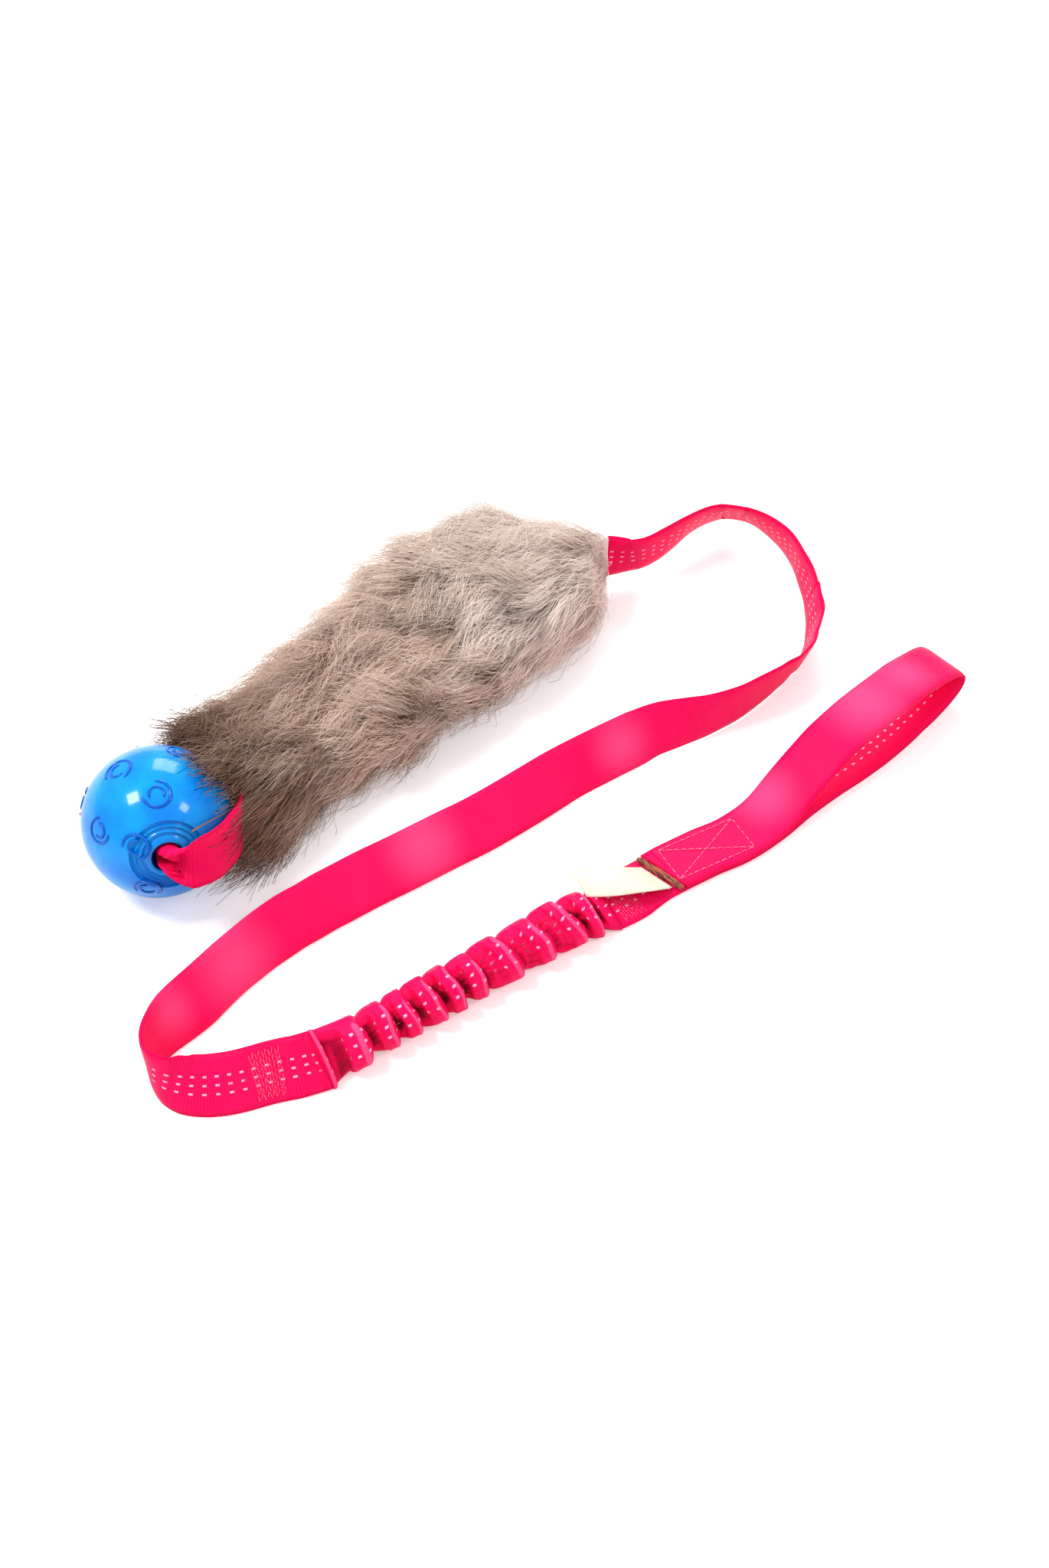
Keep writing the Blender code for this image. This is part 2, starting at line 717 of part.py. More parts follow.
def aim(mesh, centre, direction):
    """Turns a mesh made about Z to point a given way and moves it to its middle."""
    turn = direction.to_track_quat("Z", "Y").to_matrix().to_4x4()
    mesh.transform(Matrix.Translation(centre) @ turn)
    return mesh


def cutter(name, mesh, parent):
    """A hidden wire body that a Boolean takes away."""
    body = bpy.data.objects.new(name, mesh)
    bpy.context.scene.collection.objects.link(body)
    body.hide_render = True
    body.display_type = "WIRE"
    body.parent = parent
    body.matrix_parent_inverse = parent.matrix_world.inverted()
    return body


def loop_points():
    """Middle of the loop's tape with the share of its curl, from the mouth round to the mouth."""
    centre = ball_centre()
    bore = bore_way()
    out = mouth() - centre
    across = bore.cross(out).normalized()
    aside = across.cross(bore)
    orbit = BALL_RADIUS + LOOP_STANDOFF + WEBBING_THICKNESS / 2
    channel = LOOP_CURL_RADIUS
    ring = orbit - LOOP_BEND_RADIUS
    reach_aside = channel + LOOP_BEND_RADIUS
    fillet = math.asin(reach_aside / ring)
    height = ring * math.cos(fillet)
    span = math.atan2(out.dot(aside), out.dot(bore))
    leave = math.acos(min(orbit / (out.length - LOOP_STUB), 1.0))
    inward = level(LOOP_TURN)
    apart = Vector((-inward.y, inward.x, 0.0)) * (WEBBING_THICKNESS + SEAT_GAP) / 2

    def place_at(along, beside):
        return centre + bore * along + aside * beside

    def stub(sign):
        tip = mouth() + inward * LOOP_MOUTH_GAP + apart * sign
        return [(tip, 0.0), (tip + inward * LOOP_STUB / 2, 0.0),
                (tip + inward * LOOP_STUB + apart * sign * STUB_SPREAD_SHARE, 0.0)]

    def bend(sign):
        points = []
        for k in range(6):
            angle = fillet - (fillet + math.pi / 2) * k / 5
            along = height + LOOP_BEND_RADIUS * math.cos(angle)
            beside = reach_aside + LOOP_BEND_RADIUS * math.sin(angle)
            points.append((place_at(along * sign, beside), CURL_SHARES[k]))
        return points

    front_sign = 1.0 if apart.dot(bore) > 0 else -1.0
    points = stub(front_sign)
    front_start = span - leave * LEAVE_SHARE
    for k in range(10):
        angle = front_start + (fillet - front_start) * k / 10
        curl_share = max(0.0, 1.0 - (angle - fillet) / CURL_RUN) * CURL_SHARES[0]
        points.append((place_at(orbit * math.cos(angle), orbit * math.sin(angle)), curl_share))
    points += bend(1.0)
    for part_share in CHANNEL_SHARES:
        points.append((place_at(height * part_share, channel), 1.0))
    points += bend(-1.0)[::-1]
    last = stub(-front_sign)[::-1]
    start, end = points[-1][0], last[0][0]
    for k in range(1, 5):
        point = start.lerp(end, k / 5)
        radial = point - centre
        if radial.length < orbit:
            point = centre + radial * orbit / radial.length
        points.append((point, CURL_SHARES[0] * (1 - k / 5)))
    return points + last, across


def curled_ring(centre, across, through, curl, half, count):
    """Cross-section of a tape bent into a channel round the given way through it."""
    width = across.length * 2
    way = across.normalized()
    bend = curl / LOOP_CURL_RADIUS

    def face(offset):
        points = []
        for k in range(count + 1):
            along = width * (k / count - 0.5)
            turn = along * bend
            if abs(bend) < CURL_START / width:
                flat, rise = along, 0.0
            else:
                flat, rise = math.sin(turn) / bend, (1 - math.cos(turn)) / bend
            normal = through * math.cos(turn) - way * math.sin(turn)
            points.append(centre + way * flat + through * rise + normal * offset)
        return points

    return face(-half) + face(half)[::-1]


def ball_loop():
    """The loop's tape: flat round the ball, curled into a channel in the bores."""
    points, across = loop_points()
    fine = smooth_rows([(*point, share) for point, share in points], 2)
    rings = []
    last = len(fine) - 1
    for i, (x, y, z, share) in enumerate(fine):
        ahead = (Vector(fine[min(i + 1, last)][:3]) - Vector(fine[max(i - 1, 0)][:3])).normalized()
        turned_share = min(min(i, last - i) / STUB_STATIONS, 1.0)
        up = Vector((0, 0, 1)).lerp(across, turned_share).normalized()
        way = (up - ahead * up.dot(ahead)).normalized()
        through = way.cross(ahead)
        rings.append(curled_ring(Vector((x, y, z)), way * WEBBING_WIDTH / 2, through,
                                 min(max(share, 0.0), 1.0), WEBBING_THICKNESS / 2, 6))
    return loft(rings)


def groove_shares():
    """Where the grooves lie along the bungee: one before each pleat and one at the end."""
    return [0.0] + [row[0] for row in PLEAT_SHARES]


def pleat(share, angle):
    """Radius of the gathered tape and how far its crest slants along, at a place round it."""
    grooves = groove_shares()
    i = 0
    while i < len(PLEAT_SHARES) - 1 and share > grooves[i + 1]:
        i += 1
    phase = (share - grooves[i]) / (grooves[i + 1] - grooves[i])
    swell = max(math.sin(math.pi * phase ** SKEW_SHARE), 0.0)
    uneven_share = sum(part_share * math.sin(waves * angle + shift * i)
                       for part_share, waves, shift in UNEVEN_SHARES)
    crest = BUNGEE_RADIUS * PLEAT_SHARES[i][1] * (1 + uneven_share)
    uneven_share = GROOVE_UNEVEN_SHARE * math.sin(angle + GROOVE_SHIFT * i)
    groove = BUNGEE_GROOVE_DEPTH * PLEAT_SHARES[i][1] * (1 + uneven_share)
    slant = -PLEAT_SHARES[i][2] * BUNGEE_RADIUS * math.cos(angle) * swell
    return crest - groove * (1 - swell ** SWELL_SHARE), slant


def pleat_stations():
    """Shares along the bungee: close together in the grooves, wider over the crests."""
    grooves = groove_shares()
    stations = []
    for low, high in zip(grooves, grooves[1:]):
        stations += [low + (high - low) * phase for phase in PHASE_SHARES]
    return stations + [1.0]


def bungee_sleeve():
    """The gathered tape round the elastic, flat at both ends, pleated all round between."""
    bore = ELASTIC_RADIUS + SEAT_GAP + ELASTIC_COVER_WALL + SEAT_GAP
    slit = WEBBING_THICKNESS / 2
    outer, inner = [], []
    for share in pleat_stations():
        across, through = bungee_axes(share)
        end_width = WEBBING_WIDTH if share < 0.5 else TAIL_WIDTH
        low = end_height(0.0 if share < 0.5 else 1.0, end_width)
        near_end = min(share, 1 - share) * BUNGEE_LENGTH / ELASTIC_INSET
        blend = math.sin(min(near_end, 1.0) * math.pi / 2)
        rise = low + (BUNGEE_RISE - low) * min(near_end, 1.0)
        middle = Vector((BUNGEE_START_X + BUNGEE_LENGTH * share, BUNGEE_Y, rise))
        ring, hole = [], []
        for k in range(BUNGEE_SIDES):
            angle = math.tau * (k + 0.5) / BUNGEE_SIDES
            c, s = math.cos(angle), math.sin(angle)
            radius, slant = pleat(share, angle)
            wide = end_width / 2 * (1 - blend) + radius * blend
            thick = (slit + WEBBING_THICKNESS) * (1 - blend) + radius * blend
            point = middle + across * c * wide + through * s * thick
            point.x += slant * blend
            point.z = max(point.z, 0.0)
            ring.append(point)
            hole_wide = end_width * SLIT_WIDTH_SHARE / 2 * (1 - blend) + bore * blend
            hole_thick = slit * SLIT_HEIGHT_SHARE * (1 - blend) + bore * blend
            hole.append(middle + across * c * hole_wide + through * s * hole_thick)
        outer.append(ring)
        if not inner or share - inner[-1][0] > INNER_STEP_SHARE or share == 1.0:
            inner.append((share, hole))
    return loft(outer + [hole for share, hole in inner[::-1]], closed=True)


def elastic(inner_radius, outer_radius):
    """A straight run of elastic inside the bungee: a strand, or its cover as a tube."""
    start = BUNGEE_START_X + ELASTIC_INSET
    end = BUNGEE_START_X + BUNGEE_LENGTH - ELASTIC_INSET
    rings = []
    for x, radius in ((start, outer_radius), (end, outer_radius), (end, inner_radius),
                      (start, inner_radius)):
        middle = Vector((x, BUNGEE_Y, BUNGEE_RISE))
        rings.append(oval(middle, Vector((0, 1, 0)), Vector((0, 0, 1)), radius, radius, 16))
    if inner_radius == 0.0:
        return loft(rings[:2])
    return loft(rings, closed=True)


def toy_middle():
    """Middle of the toy on the floor, without its loose lead: where the origin goes."""
    handle = grip_rows()
    left = ball_centre().x - BALL_RADIUS
    right = max((middle - across).x for middle, across, half in handle) + WEBBING_THICKNESS / 2
    near = min((middle - across).y for middle, across, half in handle)
    far = max(point.y for ring in pile_rings() for point in ring)
    return Vector(((left + right) / 2, (near + far) / 2, 0.0))


def grip_start():
    """X where the floor run of the grip's loop begins, under the cut end of the lap."""
    return BUNGEE_START_X + BUNGEE_LENGTH + TAIL_LENGTH


def grip_side(share):
    """Middle of the grip's tape in plan at a share of the grip's length, and the way across."""
    def sweep(part):
        return BUNGEE_Y + share_at(GRIP_SWEEP_SHARES, part) * GRIP_SWEEP

    step_share = 0.02
    slope = (sweep(share + step_share) - sweep(share - step_share)) / (GRIP_LENGTH * step_share * 2)
    across = Vector((-slope, 1.0, 0.0)).normalized()
    return Vector((grip_start() + GRIP_LENGTH * share, sweep(share), 0.0)), across


def grip_rows():
    """The tape of the grip: the tail, the run on the floor, the loop and the lap on top."""
    half = WEBBING_WIDTH / 2
    thick = WEBBING_THICKNESS / 2
    ground = FLOOR_CLEARANCE + thick
    lap = ground + WEBBING_THICKNESS + SEAT_GAP
    rows = []
    tail_steps = 8
    tail_start_share = -(TAIL_LENGTH - STRETCH_GAP) / GRIP_LENGTH
    start_height = end_height(1.0, TAIL_WIDTH)
    for k in range(tail_steps):
        t = k / tail_steps
        eased = t * t * (3 - 2 * t)
        middle, across = grip_side(tail_start_share * (1 - t))
        pitch = math.radians(BUNGEE_END_PITCH * (1 - eased))
        level_end = Vector((middle.x, BUNGEE_Y, 0.0))
        middle = level_end.lerp(middle, eased)
        across = Vector((0, 1, 0)).lerp(across, eased).normalized()
        middle.z = start_height + (ground - start_height) * eased
        width = TAIL_WIDTH + (WEBBING_WIDTH - TAIL_WIDTH) * min(t * 2, 1.0)
        way = across * math.cos(pitch) + Vector((0, 0, math.sin(pitch)))
        rows.append((middle, way * width / 2, thick))
    for share in GRIP_FLOOR_SHARES:
        middle, across = grip_side(share)
        middle.z = ground
        rows.append((middle, across * half, thick))
    loop = smooth_rows([(GRIP_FLOOR_SHARES[-1], ground / GRIP_HEIGHT), *GRIP_LOOP_SHARES,
                        (GRIP_PAD_SHARES[0], lap / GRIP_HEIGHT)], 2)
    for share, high in loop[1:-1]:
        middle, across = grip_side(share)
        middle.z = max(high * GRIP_HEIGHT, ground)
        rows.append((middle, across * half, thick))
    for share in (*GRIP_PAD_SHARES, cut_share()):
        middle, across = grip_side(share)
        middle.z = lap
        if share == cut_share():
            across = level(90.0 + CUT_SLANT)
        rows.append((middle, across * half, thick))
    return rows


def cut_share():
    """Share of the grip's length at which the tape's cut end begins."""
    return SCORCH_LENGTH / GRIP_LENGTH


def cut_middle(back, height):
    """A place on the middle line at a distance behind the cut end, with the slanted way across."""
    middle, across = grip_side(cut_share())
    across = level(90.0 + CUT_SLANT)
    along = level(180.0 + CUT_SLANT)
    return middle + along * back + Vector((0, 0, height)), across, along


def scorched_end():
    """The sealed end of the tape, a little thicker than the tape it closes."""
    low = FLOOR_CLEARANCE + WEBBING_THICKNESS + SEAT_GAP
    half = SCORCH_THICKNESS / 2
    rows = []
    for part_share, swell_share in ((0.0, 0.86), (0.3, 1.0), (0.8, 1.0), (1.0, 0.7)):
        back = SEAT_GAP + (SCORCH_LENGTH - SEAT_GAP) * part_share
        middle, across, along = cut_middle(back, low + half)
        rows.append((middle, across * WEBBING_WIDTH / 2, half * swell_share))
    return tape(rows)


def label_base():
    """Height of the label's middle at its seam, over the tape of the tail."""
    return FLOOR_CLEARANCE + WEBBING_THICKNESS + SEAT_GAP + LABEL_THICKNESS + SEAT_GAP


def label_rows():
    """The label from its seam beside the cut end, rising over the tail to its free end."""
    rows = []
    stations = 8
    base = label_base()
    for k in range(stations + 1):
        t = k / stations
        back = SCORCH_LENGTH + LABEL_GAP + LABEL_LENGTH * t
        rise = base + LABEL_RISE * math.sin(min(t * LABEL_LIFT_SHARE, 1.0) * math.pi / 2)
        middle, across, along = cut_middle(back, rise)
        middle += across * LABEL_SWING * t * t
        turn = math.radians(LABEL_TURN) * t
        way = across * math.cos(turn) - along * math.sin(turn)
        rows.append((middle, way * LABEL_WIDTH / 2, LABEL_THICKNESS / 2))
    return rows


def label_run(rows):
    """A thread across the label near its seam, with a short step at each stitch."""
    lift = -(SEAT_GAP / 2 + THREAD_RADIUS * 1.5)
    count = int(LABEL_WIDTH / STITCH_LENGTH)
    run = []
    for k in range(count + 1):
        part = (2 * k / count - 1) * TACK_WIDTH_SHARE
        run.append(along_rows(rows, STITCH_LENGTH + STITCH_GAP * (k % 2), part, lift))
    return run


def stitched_box(name, finish, parent):
    """A box of stitches with a cross in it: a thin plate with its four triangles cut out."""
    middle, across = grip_side((BOX_STITCH_START + BOX_STITCH_LENGTH / 2) / GRIP_LENGTH)
    low = FLOOR_CLEARANCE + WEBBING_THICKNESS * 2 + SEAT_GAP * 1.5
    long = BOX_STITCH_LENGTH / 2
    wide = WEBBING_WIDTH / 2 - BOX_STITCH_INSET
    turn = Matrix.Translation(middle) @ Vector((across.y, -across.x, 0)).to_track_quat(
        "X", "Z").to_matrix().to_4x4()
    outline = [Vector((long * u, wide * v, low)) for u, v in ((-1, -1), (1, -1), (1, 1), (-1, 1))]
    rise = Vector((0, 0, THREAD_RADIUS * 2))
    plate = loft([outline, [point + rise for point in outline]])
    plate.transform(turn)
    box = place(name, plate, finish, parent, smooth=False)
    for k in range(4):
        corners = (outline[k], outline[(k + 1) % 4], Vector((0, 0, low)))
        heart = sum(corners, Vector()) / 3
        inner = []
        for i in range(3):
            before, here, after = corners[i - 1], corners[i], corners[(i + 1) % 3]
            one = (before - here).normalized()
            two = (after - here).normalized()
            half_angle = one.angle(two) / 2
            way = (one + two).normalized()
            inner.append(here + way * THREAD_RADIUS * (2 if i < 2 else 1) / math.sin(half_angle))
        hole = loft([[point - rise for point in inner], [point + rise * 2 for point in inner]])
        hole.transform(turn)
        cut = box.modifiers.new("stitch_gap_" + str(k), "BOOLEAN")
        cut.operation = "DIFFERENCE"
        cut.solver = "EXACT"
        cut.object = cutter("stitch_gap_cutter_" + str(k), hole, parent)
    return box


def main():
    for thing in list(bpy.data.objects):
        bpy.data.objects.remove(thing, do_unlink=True)

    pink = material("pink_webbing", (0.86, 0.003, 0.10), 0.62)
    grip_pink = material("grip_webbing", (0.88, 0.004, 0.11), 0.60)
    loop_pink = material("loop_webbing", (0.84, 0.003, 0.10), 0.62)
    bungee_pink = material("gathered_webbing", (0.86, 0.004, 0.12), 0.60)
    core_pink = material("core_webbing", (0.80, 0.003, 0.10), 0.65)
    thread = material("pink_thread", (0.90, 0.12, 0.24), 0.55)
    tack_thread = material("bar_tack_thread", (0.88, 0.08, 0.20), 0.55)
    lead_thread = material("lead_tack_thread", (0.88, 0.06, 0.18), 0.55)
    label_thread = material("label_thread", (0.80, 0.75, 0.66), 0.60)
    sewing = material("sewing_thread", (0.35, 0.27, 0.22), 0.70)
    neck_thread = material("neck_thread", (0.40, 0.30, 0.24), 0.70)
    mouth_thread = material("mouth_thread", (0.30, 0.22, 0.18), 0.70)
    scorch = material("scorched_webbing", (0.045, 0.018, 0.015), 0.45)
    cream = material("label_cloth", (0.72, 0.68, 0.60), 0.75)
    coat = material("fur_coat", (0.36, 0.28, 0.24), 0.95)
    skin = material("fur_skin", (0.45, 0.36, 0.30), 0.85)
    rubber = material("blue_rubber", (0.005, 0.08, 0.55), 0.22, transmission=0.35)
    squeaker = material("squeaker_plastic", (0.02, 0.03, 0.10), 0.40)
    reed = material("reed_plastic", (0.60, 0.58, 0.52), 0.45)
    strand = material("elastic_rubber", (0.70, 0.66, 0.58), 0.60)
    cover = material("elastic_cover", (0.85, 0.83, 0.80), 0.75)

    root = pivot("lead", Vector((0, 0, 0)), Vector((0, 0, 1)))
    bungee_top = end_height(0.0, WEBBING_WIDTH) * 2
    bungee_at = Vector((BUNGEE_START_X, BUNGEE_Y, bungee_top))
    bungee = pivot("bungee", bungee_at, Vector((0, -1, 0)), root)
    grip_at = Vector((BUNGEE_START_X + BUNGEE_LENGTH, BUNGEE_Y, BUNGEE_RISE))
    grip = pivot("handle", grip_at, Vector((1, 0, 0)), bungee)
    seam_at, seam_way, seam_along = cut_middle(SCORCH_LENGTH + LABEL_GAP, label_base())
    label = pivot("label", seam_at, seam_way, grip)
    fur = pivot("fur", neck(), Vector((0, 0, 1)), root)
    carrier = pivot("ball_carrier", mouth(), Vector((0, 0, 1)), fur)
    ball = pivot("ball", ball_centre(), bore_way(), carrier)

    lead = lead_rows()
    place("lead_webbing", tape(lead), pink, root)
    tack_at = run_length(lead) - LEAD_TACK_FROM_END - TACK_LENGTH
    thread_line("bar_tack_lead", tack_run(lead, tack_at, TACK_LENGTH, TACK_ROWS, LEAD_FACE,
                                          TACK_WIDTH_SHARE), lead_thread, root)

    place("bungee_sleeve", bungee_sleeve(), bungee_pink, bungee)
    sheath = ELASTIC_RADIUS + SEAT_GAP
    place("elastic_core", elastic(0.0, ELASTIC_RADIUS), strand, bungee)
    place("elastic_cover", elastic(sheath, sheath + ELASTIC_COVER_WALL), cover, bungee)

    handle = grip_rows()
    place("handle_webbing", tape(handle), grip_pink, grip)
    thread_line("bar_tack_handle", tack_run(handle, TAIL_TACK_FROM_END, TACK_LENGTH, TACK_ROWS,
                                            GRIP_FACE, TACK_WIDTH_SHARE), tack_thread, grip)
    stitched_box("handle_box_stitch", thread, grip)
    place("scorched_end", scorched_end(), scorch, grip)
    tag = label_rows()
    place("label_tag", tape(tag), cream, label)
    thread_line("label_stitch", label_run(tag), label_thread, label)

    place("fur_pile", fur_pile(), coat, fur)
    place("fur_hide", fur_hide(), skin, fur)
    core = core_rows()
    place("core_webbing", tape(core), core_pink, fur)
    thread_line("hide_seam", hide_seam_run(), sewing, fur)
    for name, start, finish in (("neck_stitching", SEW_DISTANCE, neck_thread),
                                ("mouth_stitching", run_length(core) - SEW_DISTANCE - TACK_LENGTH,
                                 mouth_thread)):
        thread_line(name, tack_run(core, start, TACK_LENGTH, SEW_ROWS, LEAD_FACE,
                                   TACK_WIDTH_SHARE), finish, fur)

    place("ball_loop", ball_loop(), loop_pink, carrier)
    shell = place("ball_shell", aim(lathe(ball_profile(), BALL_SIDES), ball_centre(), bore_way()),
                  rubber, ball)
    port = cylinder(SQUEAKER_RADIUS + SEAT_GAP, BALL_RADIUS - BALL_WALL * 3, BALL_RADIUS + BALL_WALL)
    cut = shell.modifiers.new("squeaker_port", "BOOLEAN")
    cut.operation = "DIFFERENCE"
    cut.solver = "EXACT"
    cut.object = cutter("port_cutter", aim(port, ball_centre(), port_way()), ball)
    place("squeaker_case", aim(lathe(squeaker_profile(), 24), ball_centre(), port_way()),
          squeaker, ball)
    place("squeaker_reed", aim(lathe(reed_profile(), 24), ball_centre(), port_way()), reed, ball)
    root.location = -toy_middle()


main()
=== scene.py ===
# %% [markdown]
# # A bungee tug toy
# One long tape of hot pink webbing is the whole spine of this toy. It makes the grip, gathers
# over an elastic for the bungee, runs loose across the floor, goes through a sleeve of long fur
# and ends in a loop that carries a blue rubber ball.
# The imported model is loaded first. Everything below stands in its frame, in metres.

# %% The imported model
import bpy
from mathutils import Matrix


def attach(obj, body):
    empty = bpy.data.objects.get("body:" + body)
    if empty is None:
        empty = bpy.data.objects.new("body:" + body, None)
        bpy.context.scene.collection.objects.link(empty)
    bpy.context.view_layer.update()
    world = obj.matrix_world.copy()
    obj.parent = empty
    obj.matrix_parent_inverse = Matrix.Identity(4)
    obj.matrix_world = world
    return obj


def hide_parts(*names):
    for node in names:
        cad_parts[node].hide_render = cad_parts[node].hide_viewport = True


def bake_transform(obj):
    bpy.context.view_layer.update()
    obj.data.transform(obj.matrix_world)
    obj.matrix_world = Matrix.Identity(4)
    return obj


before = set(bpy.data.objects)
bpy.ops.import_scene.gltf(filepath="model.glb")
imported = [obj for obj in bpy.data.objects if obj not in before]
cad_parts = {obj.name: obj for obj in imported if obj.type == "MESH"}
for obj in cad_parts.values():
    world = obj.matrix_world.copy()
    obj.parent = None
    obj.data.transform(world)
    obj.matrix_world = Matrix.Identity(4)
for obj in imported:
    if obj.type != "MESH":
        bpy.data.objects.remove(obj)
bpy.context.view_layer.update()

import bpy
import bmesh
import math
import numpy as np
from mathutils import Matrix, Vector, noise

# %% [markdown]
# ## The camera
# The photograph looks down on the toy at 48 degrees and across it, so that the bungee runs from
# lower left to upper right. The lens was worked out from two known widths, the tape and the
# ball: 54.5 mm on a 36 mm picture height. The camera stands off its aim along one direction.

# %% Camera
CAMERA_TURN = math.radians(-35.4)
CAMERA_RISE = math.radians(48.0)
CAMERA_DISTANCE = 1.0412
CAMERA_LENS = 54.54
SENSOR_SIZE = 36.0
AIM = Vector((-0.00429, -0.01727, 0.0))

back = Vector((math.sin(CAMERA_TURN) * math.cos(CAMERA_RISE),
               -math.cos(CAMERA_TURN) * math.cos(CAMERA_RISE), math.sin(CAMERA_RISE)))
camera_data = bpy.data.cameras.new("photo_camera")
camera_data.lens = CAMERA_LENS
camera_data.sensor_width = SENSOR_SIZE
camera_data.clip_start = 0.01
camera = bpy.data.objects.new("photo_camera", camera_data)
bpy.context.scene.collection.objects.link(camera)
camera.location = AIM + back * CAMERA_DISTANCE
camera.rotation_euler = (math.pi / 2 - CAMERA_RISE, 0.0, CAMERA_TURN)
bpy.context.scene.camera = camera
print("camera at", [round(v, 3) for v in camera.location])

# %% [markdown]
# ## Small tools
# Every soft piece here is a strip or a tube that follows a path, so the helpers come first: a
# smooth curve through rows of numbers, a mesh from rings of points, and a way to put a
# finished mesh on a body. `ride` tells the frame which body carries the piece, and `replaces`
# says which solid it stands for.

# %% Helpers for curves and meshes
def curve_at(t, a, b, c, d):
    """Catmull-Rom from b (t = 0) to c (t = 1), with a before them and d after."""
    return 0.5 * (2 * b + (c - a) * t + (2 * a - 5 * b + 4 * c - d) * t * t
                  + (3 * b - a - 3 * c + d) * t ** 3)


def smooth_rows(rows, steps):
    """A smooth curve through rows of numbers, with the given steps in each span."""
    out = []
    for i in range(len(rows) - 1):
        before = rows[max(i - 1, 0)]
        after = rows[min(i + 2, len(rows) - 1)]
        for k in range(steps):
            out.append(tuple(curve_at(k / steps, *four)
                             for four in zip(before, rows[i], rows[i + 1], after)))
    out.append(rows[-1])
    return out


def ring_mesh(name, rings, closed=False):
    """Skins rings of equal count, and caps the ends or joins them."""
    count = len(rings[0])
    points = [tuple(point) for ring in rings for point in ring]
    pairs = len(rings) if closed else len(rings) - 1
    faces = []
    for i in range(pairs):
        j = (i + 1) % len(rings)
        for k in range(count):
            n = (k + 1) % count
            faces.append((i * count + k, i * count + n, j * count + n, j * count + k))
    if not closed:
        faces += [tuple(range(count))[::-1],
                  tuple(range((len(rings) - 1) * count, len(rings) * count))]
    mesh = bpy.data.meshes.new(name)
    mesh.from_pydata(points, [], faces)
    return outward(mesh)


def outward(mesh):
    """Turns a closed mesh's faces outwards."""
    bm = bmesh.new()
    bm.from_mesh(mesh)
    bmesh.ops.recalc_face_normals(bm, faces=bm.faces)
    bm.to_mesh(mesh)
    bm.free()
    return mesh


def put(name, mesh, finish, body=None, replaced=()):
    """Makes the object of a finished mesh, gives it its finish and its body."""
    piece = bpy.data.objects.new(name, mesh)
    bpy.context.scene.collection.objects.link(piece)
    if finish and not mesh.materials:
        mesh.materials.append(finish)
    mesh.shade_smooth()
    if body:
        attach(piece, body)
    if replaced:
        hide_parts(*replaced)
    return piece


def forget(mesh, *labels):
    """Takes off attributes that only the node trees needed."""
    for label in labels:
        if label in mesh.attributes:
            mesh.attributes.remove(mesh.attributes[label])


def upright(height):
    return Vector((0, 0, height))


def heading_of(path, i):
    """The way along a path at one of its rows, taken from the two beside it."""
    after, before = path[min(i + 1, len(path) - 1)], path[max(i - 1, 0)]
    return (Vector(after[:3]) - Vector(before[:3])).normalized()


# %% [markdown]
# ## Writing materials as sums
# Shader nodes are easier to read as formulas. `Wire` wraps one socket: adding, multiplying and
# comparing wires adds the Math nodes behind them. `Finish` starts a material with its
# Principled shader and makes every other node through one method.

# %% Helpers for materials
class Wire:
    """One output socket on which sums can be written."""

    def __init__(self, finish, socket):
        self.finish, self.socket = finish, socket

    def math(self, operation, *others):
        return self.sum(operation, self, *others)

    def sum(self, operation, *values):
        return self.finish.node("ShaderNodeMath", {"operation": operation},
                                dict(enumerate(values)))

    def __add__(self, other): return self.math("ADD", other)
    def __sub__(self, other): return self.math("SUBTRACT", other)
    def __mul__(self, other): return self.math("MULTIPLY", other)
    def __truediv__(self, other): return self.math("DIVIDE", other)
    def __gt__(self, other): return self.math("GREATER_THAN", other)
    def __lt__(self, other): return self.math("LESS_THAN", other)
    def __radd__(self, other): return self.math("ADD", other)
    def __rmul__(self, other): return self.math("MULTIPLY", other)
    def __rsub__(self, other): return self.sum("SUBTRACT", other, self)
    def __rtruediv__(self, other): return self.sum("DIVIDE", other, self)

    def sin(self): return self.math("SINE")
    def abs(self): return self.math("ABSOLUTE")
    def power(self, other): return self.math("POWER", other)
    def fract(self): return self.math("FRACT")
    def floor(self): return self.math("FLOOR")
    def maximum(self, other): return self.math("MAXIMUM", other)

    def ramp(self, low, high):
        """0 below low, 1 above high, smooth between."""
        return self.finish.node("ShaderNodeMapRange", {"interpolation_type": "SMOOTHSTEP"},
                                {"Value": self, "From Min": low, "From Max": high})


class Nodes:
    """A node tree in which each call adds one node."""

    def link(self, socket, value):
        if isinstance(value, Wire):
            self.tree.links.new(value.socket, socket)
        elif isinstance(value, tuple) and len(value) == 3 and socket.type == "RGBA":
            socket.default_value = (*value, 1.0)
        else:
            socket.default_value = value

    def node(self, kind, settings=None, inputs=None, output=0):
        made = self.tree.nodes.new(kind)
        for key, value in (settings or {}).items():
            setattr(made, key, value)
        for key, value in (inputs or {}).items():
            self.link(made.inputs[key], value)
        return Wire(self, made.outputs[output])

    def vector(self, operation, *values, output=0):
        return self.node("ShaderNodeVectorMath", {"operation": operation},
                         dict(enumerate(values)), output)

    def times(self, at, number):
        return self.node("ShaderNodeVectorMath", {"operation": "SCALE"}, {0: at, "Scale": number})

    def axes(self, at):
        split = self.node("ShaderNodeSeparateXYZ", None, {0: at}).socket.node
        return [Wire(self, socket) for socket in split.outputs]


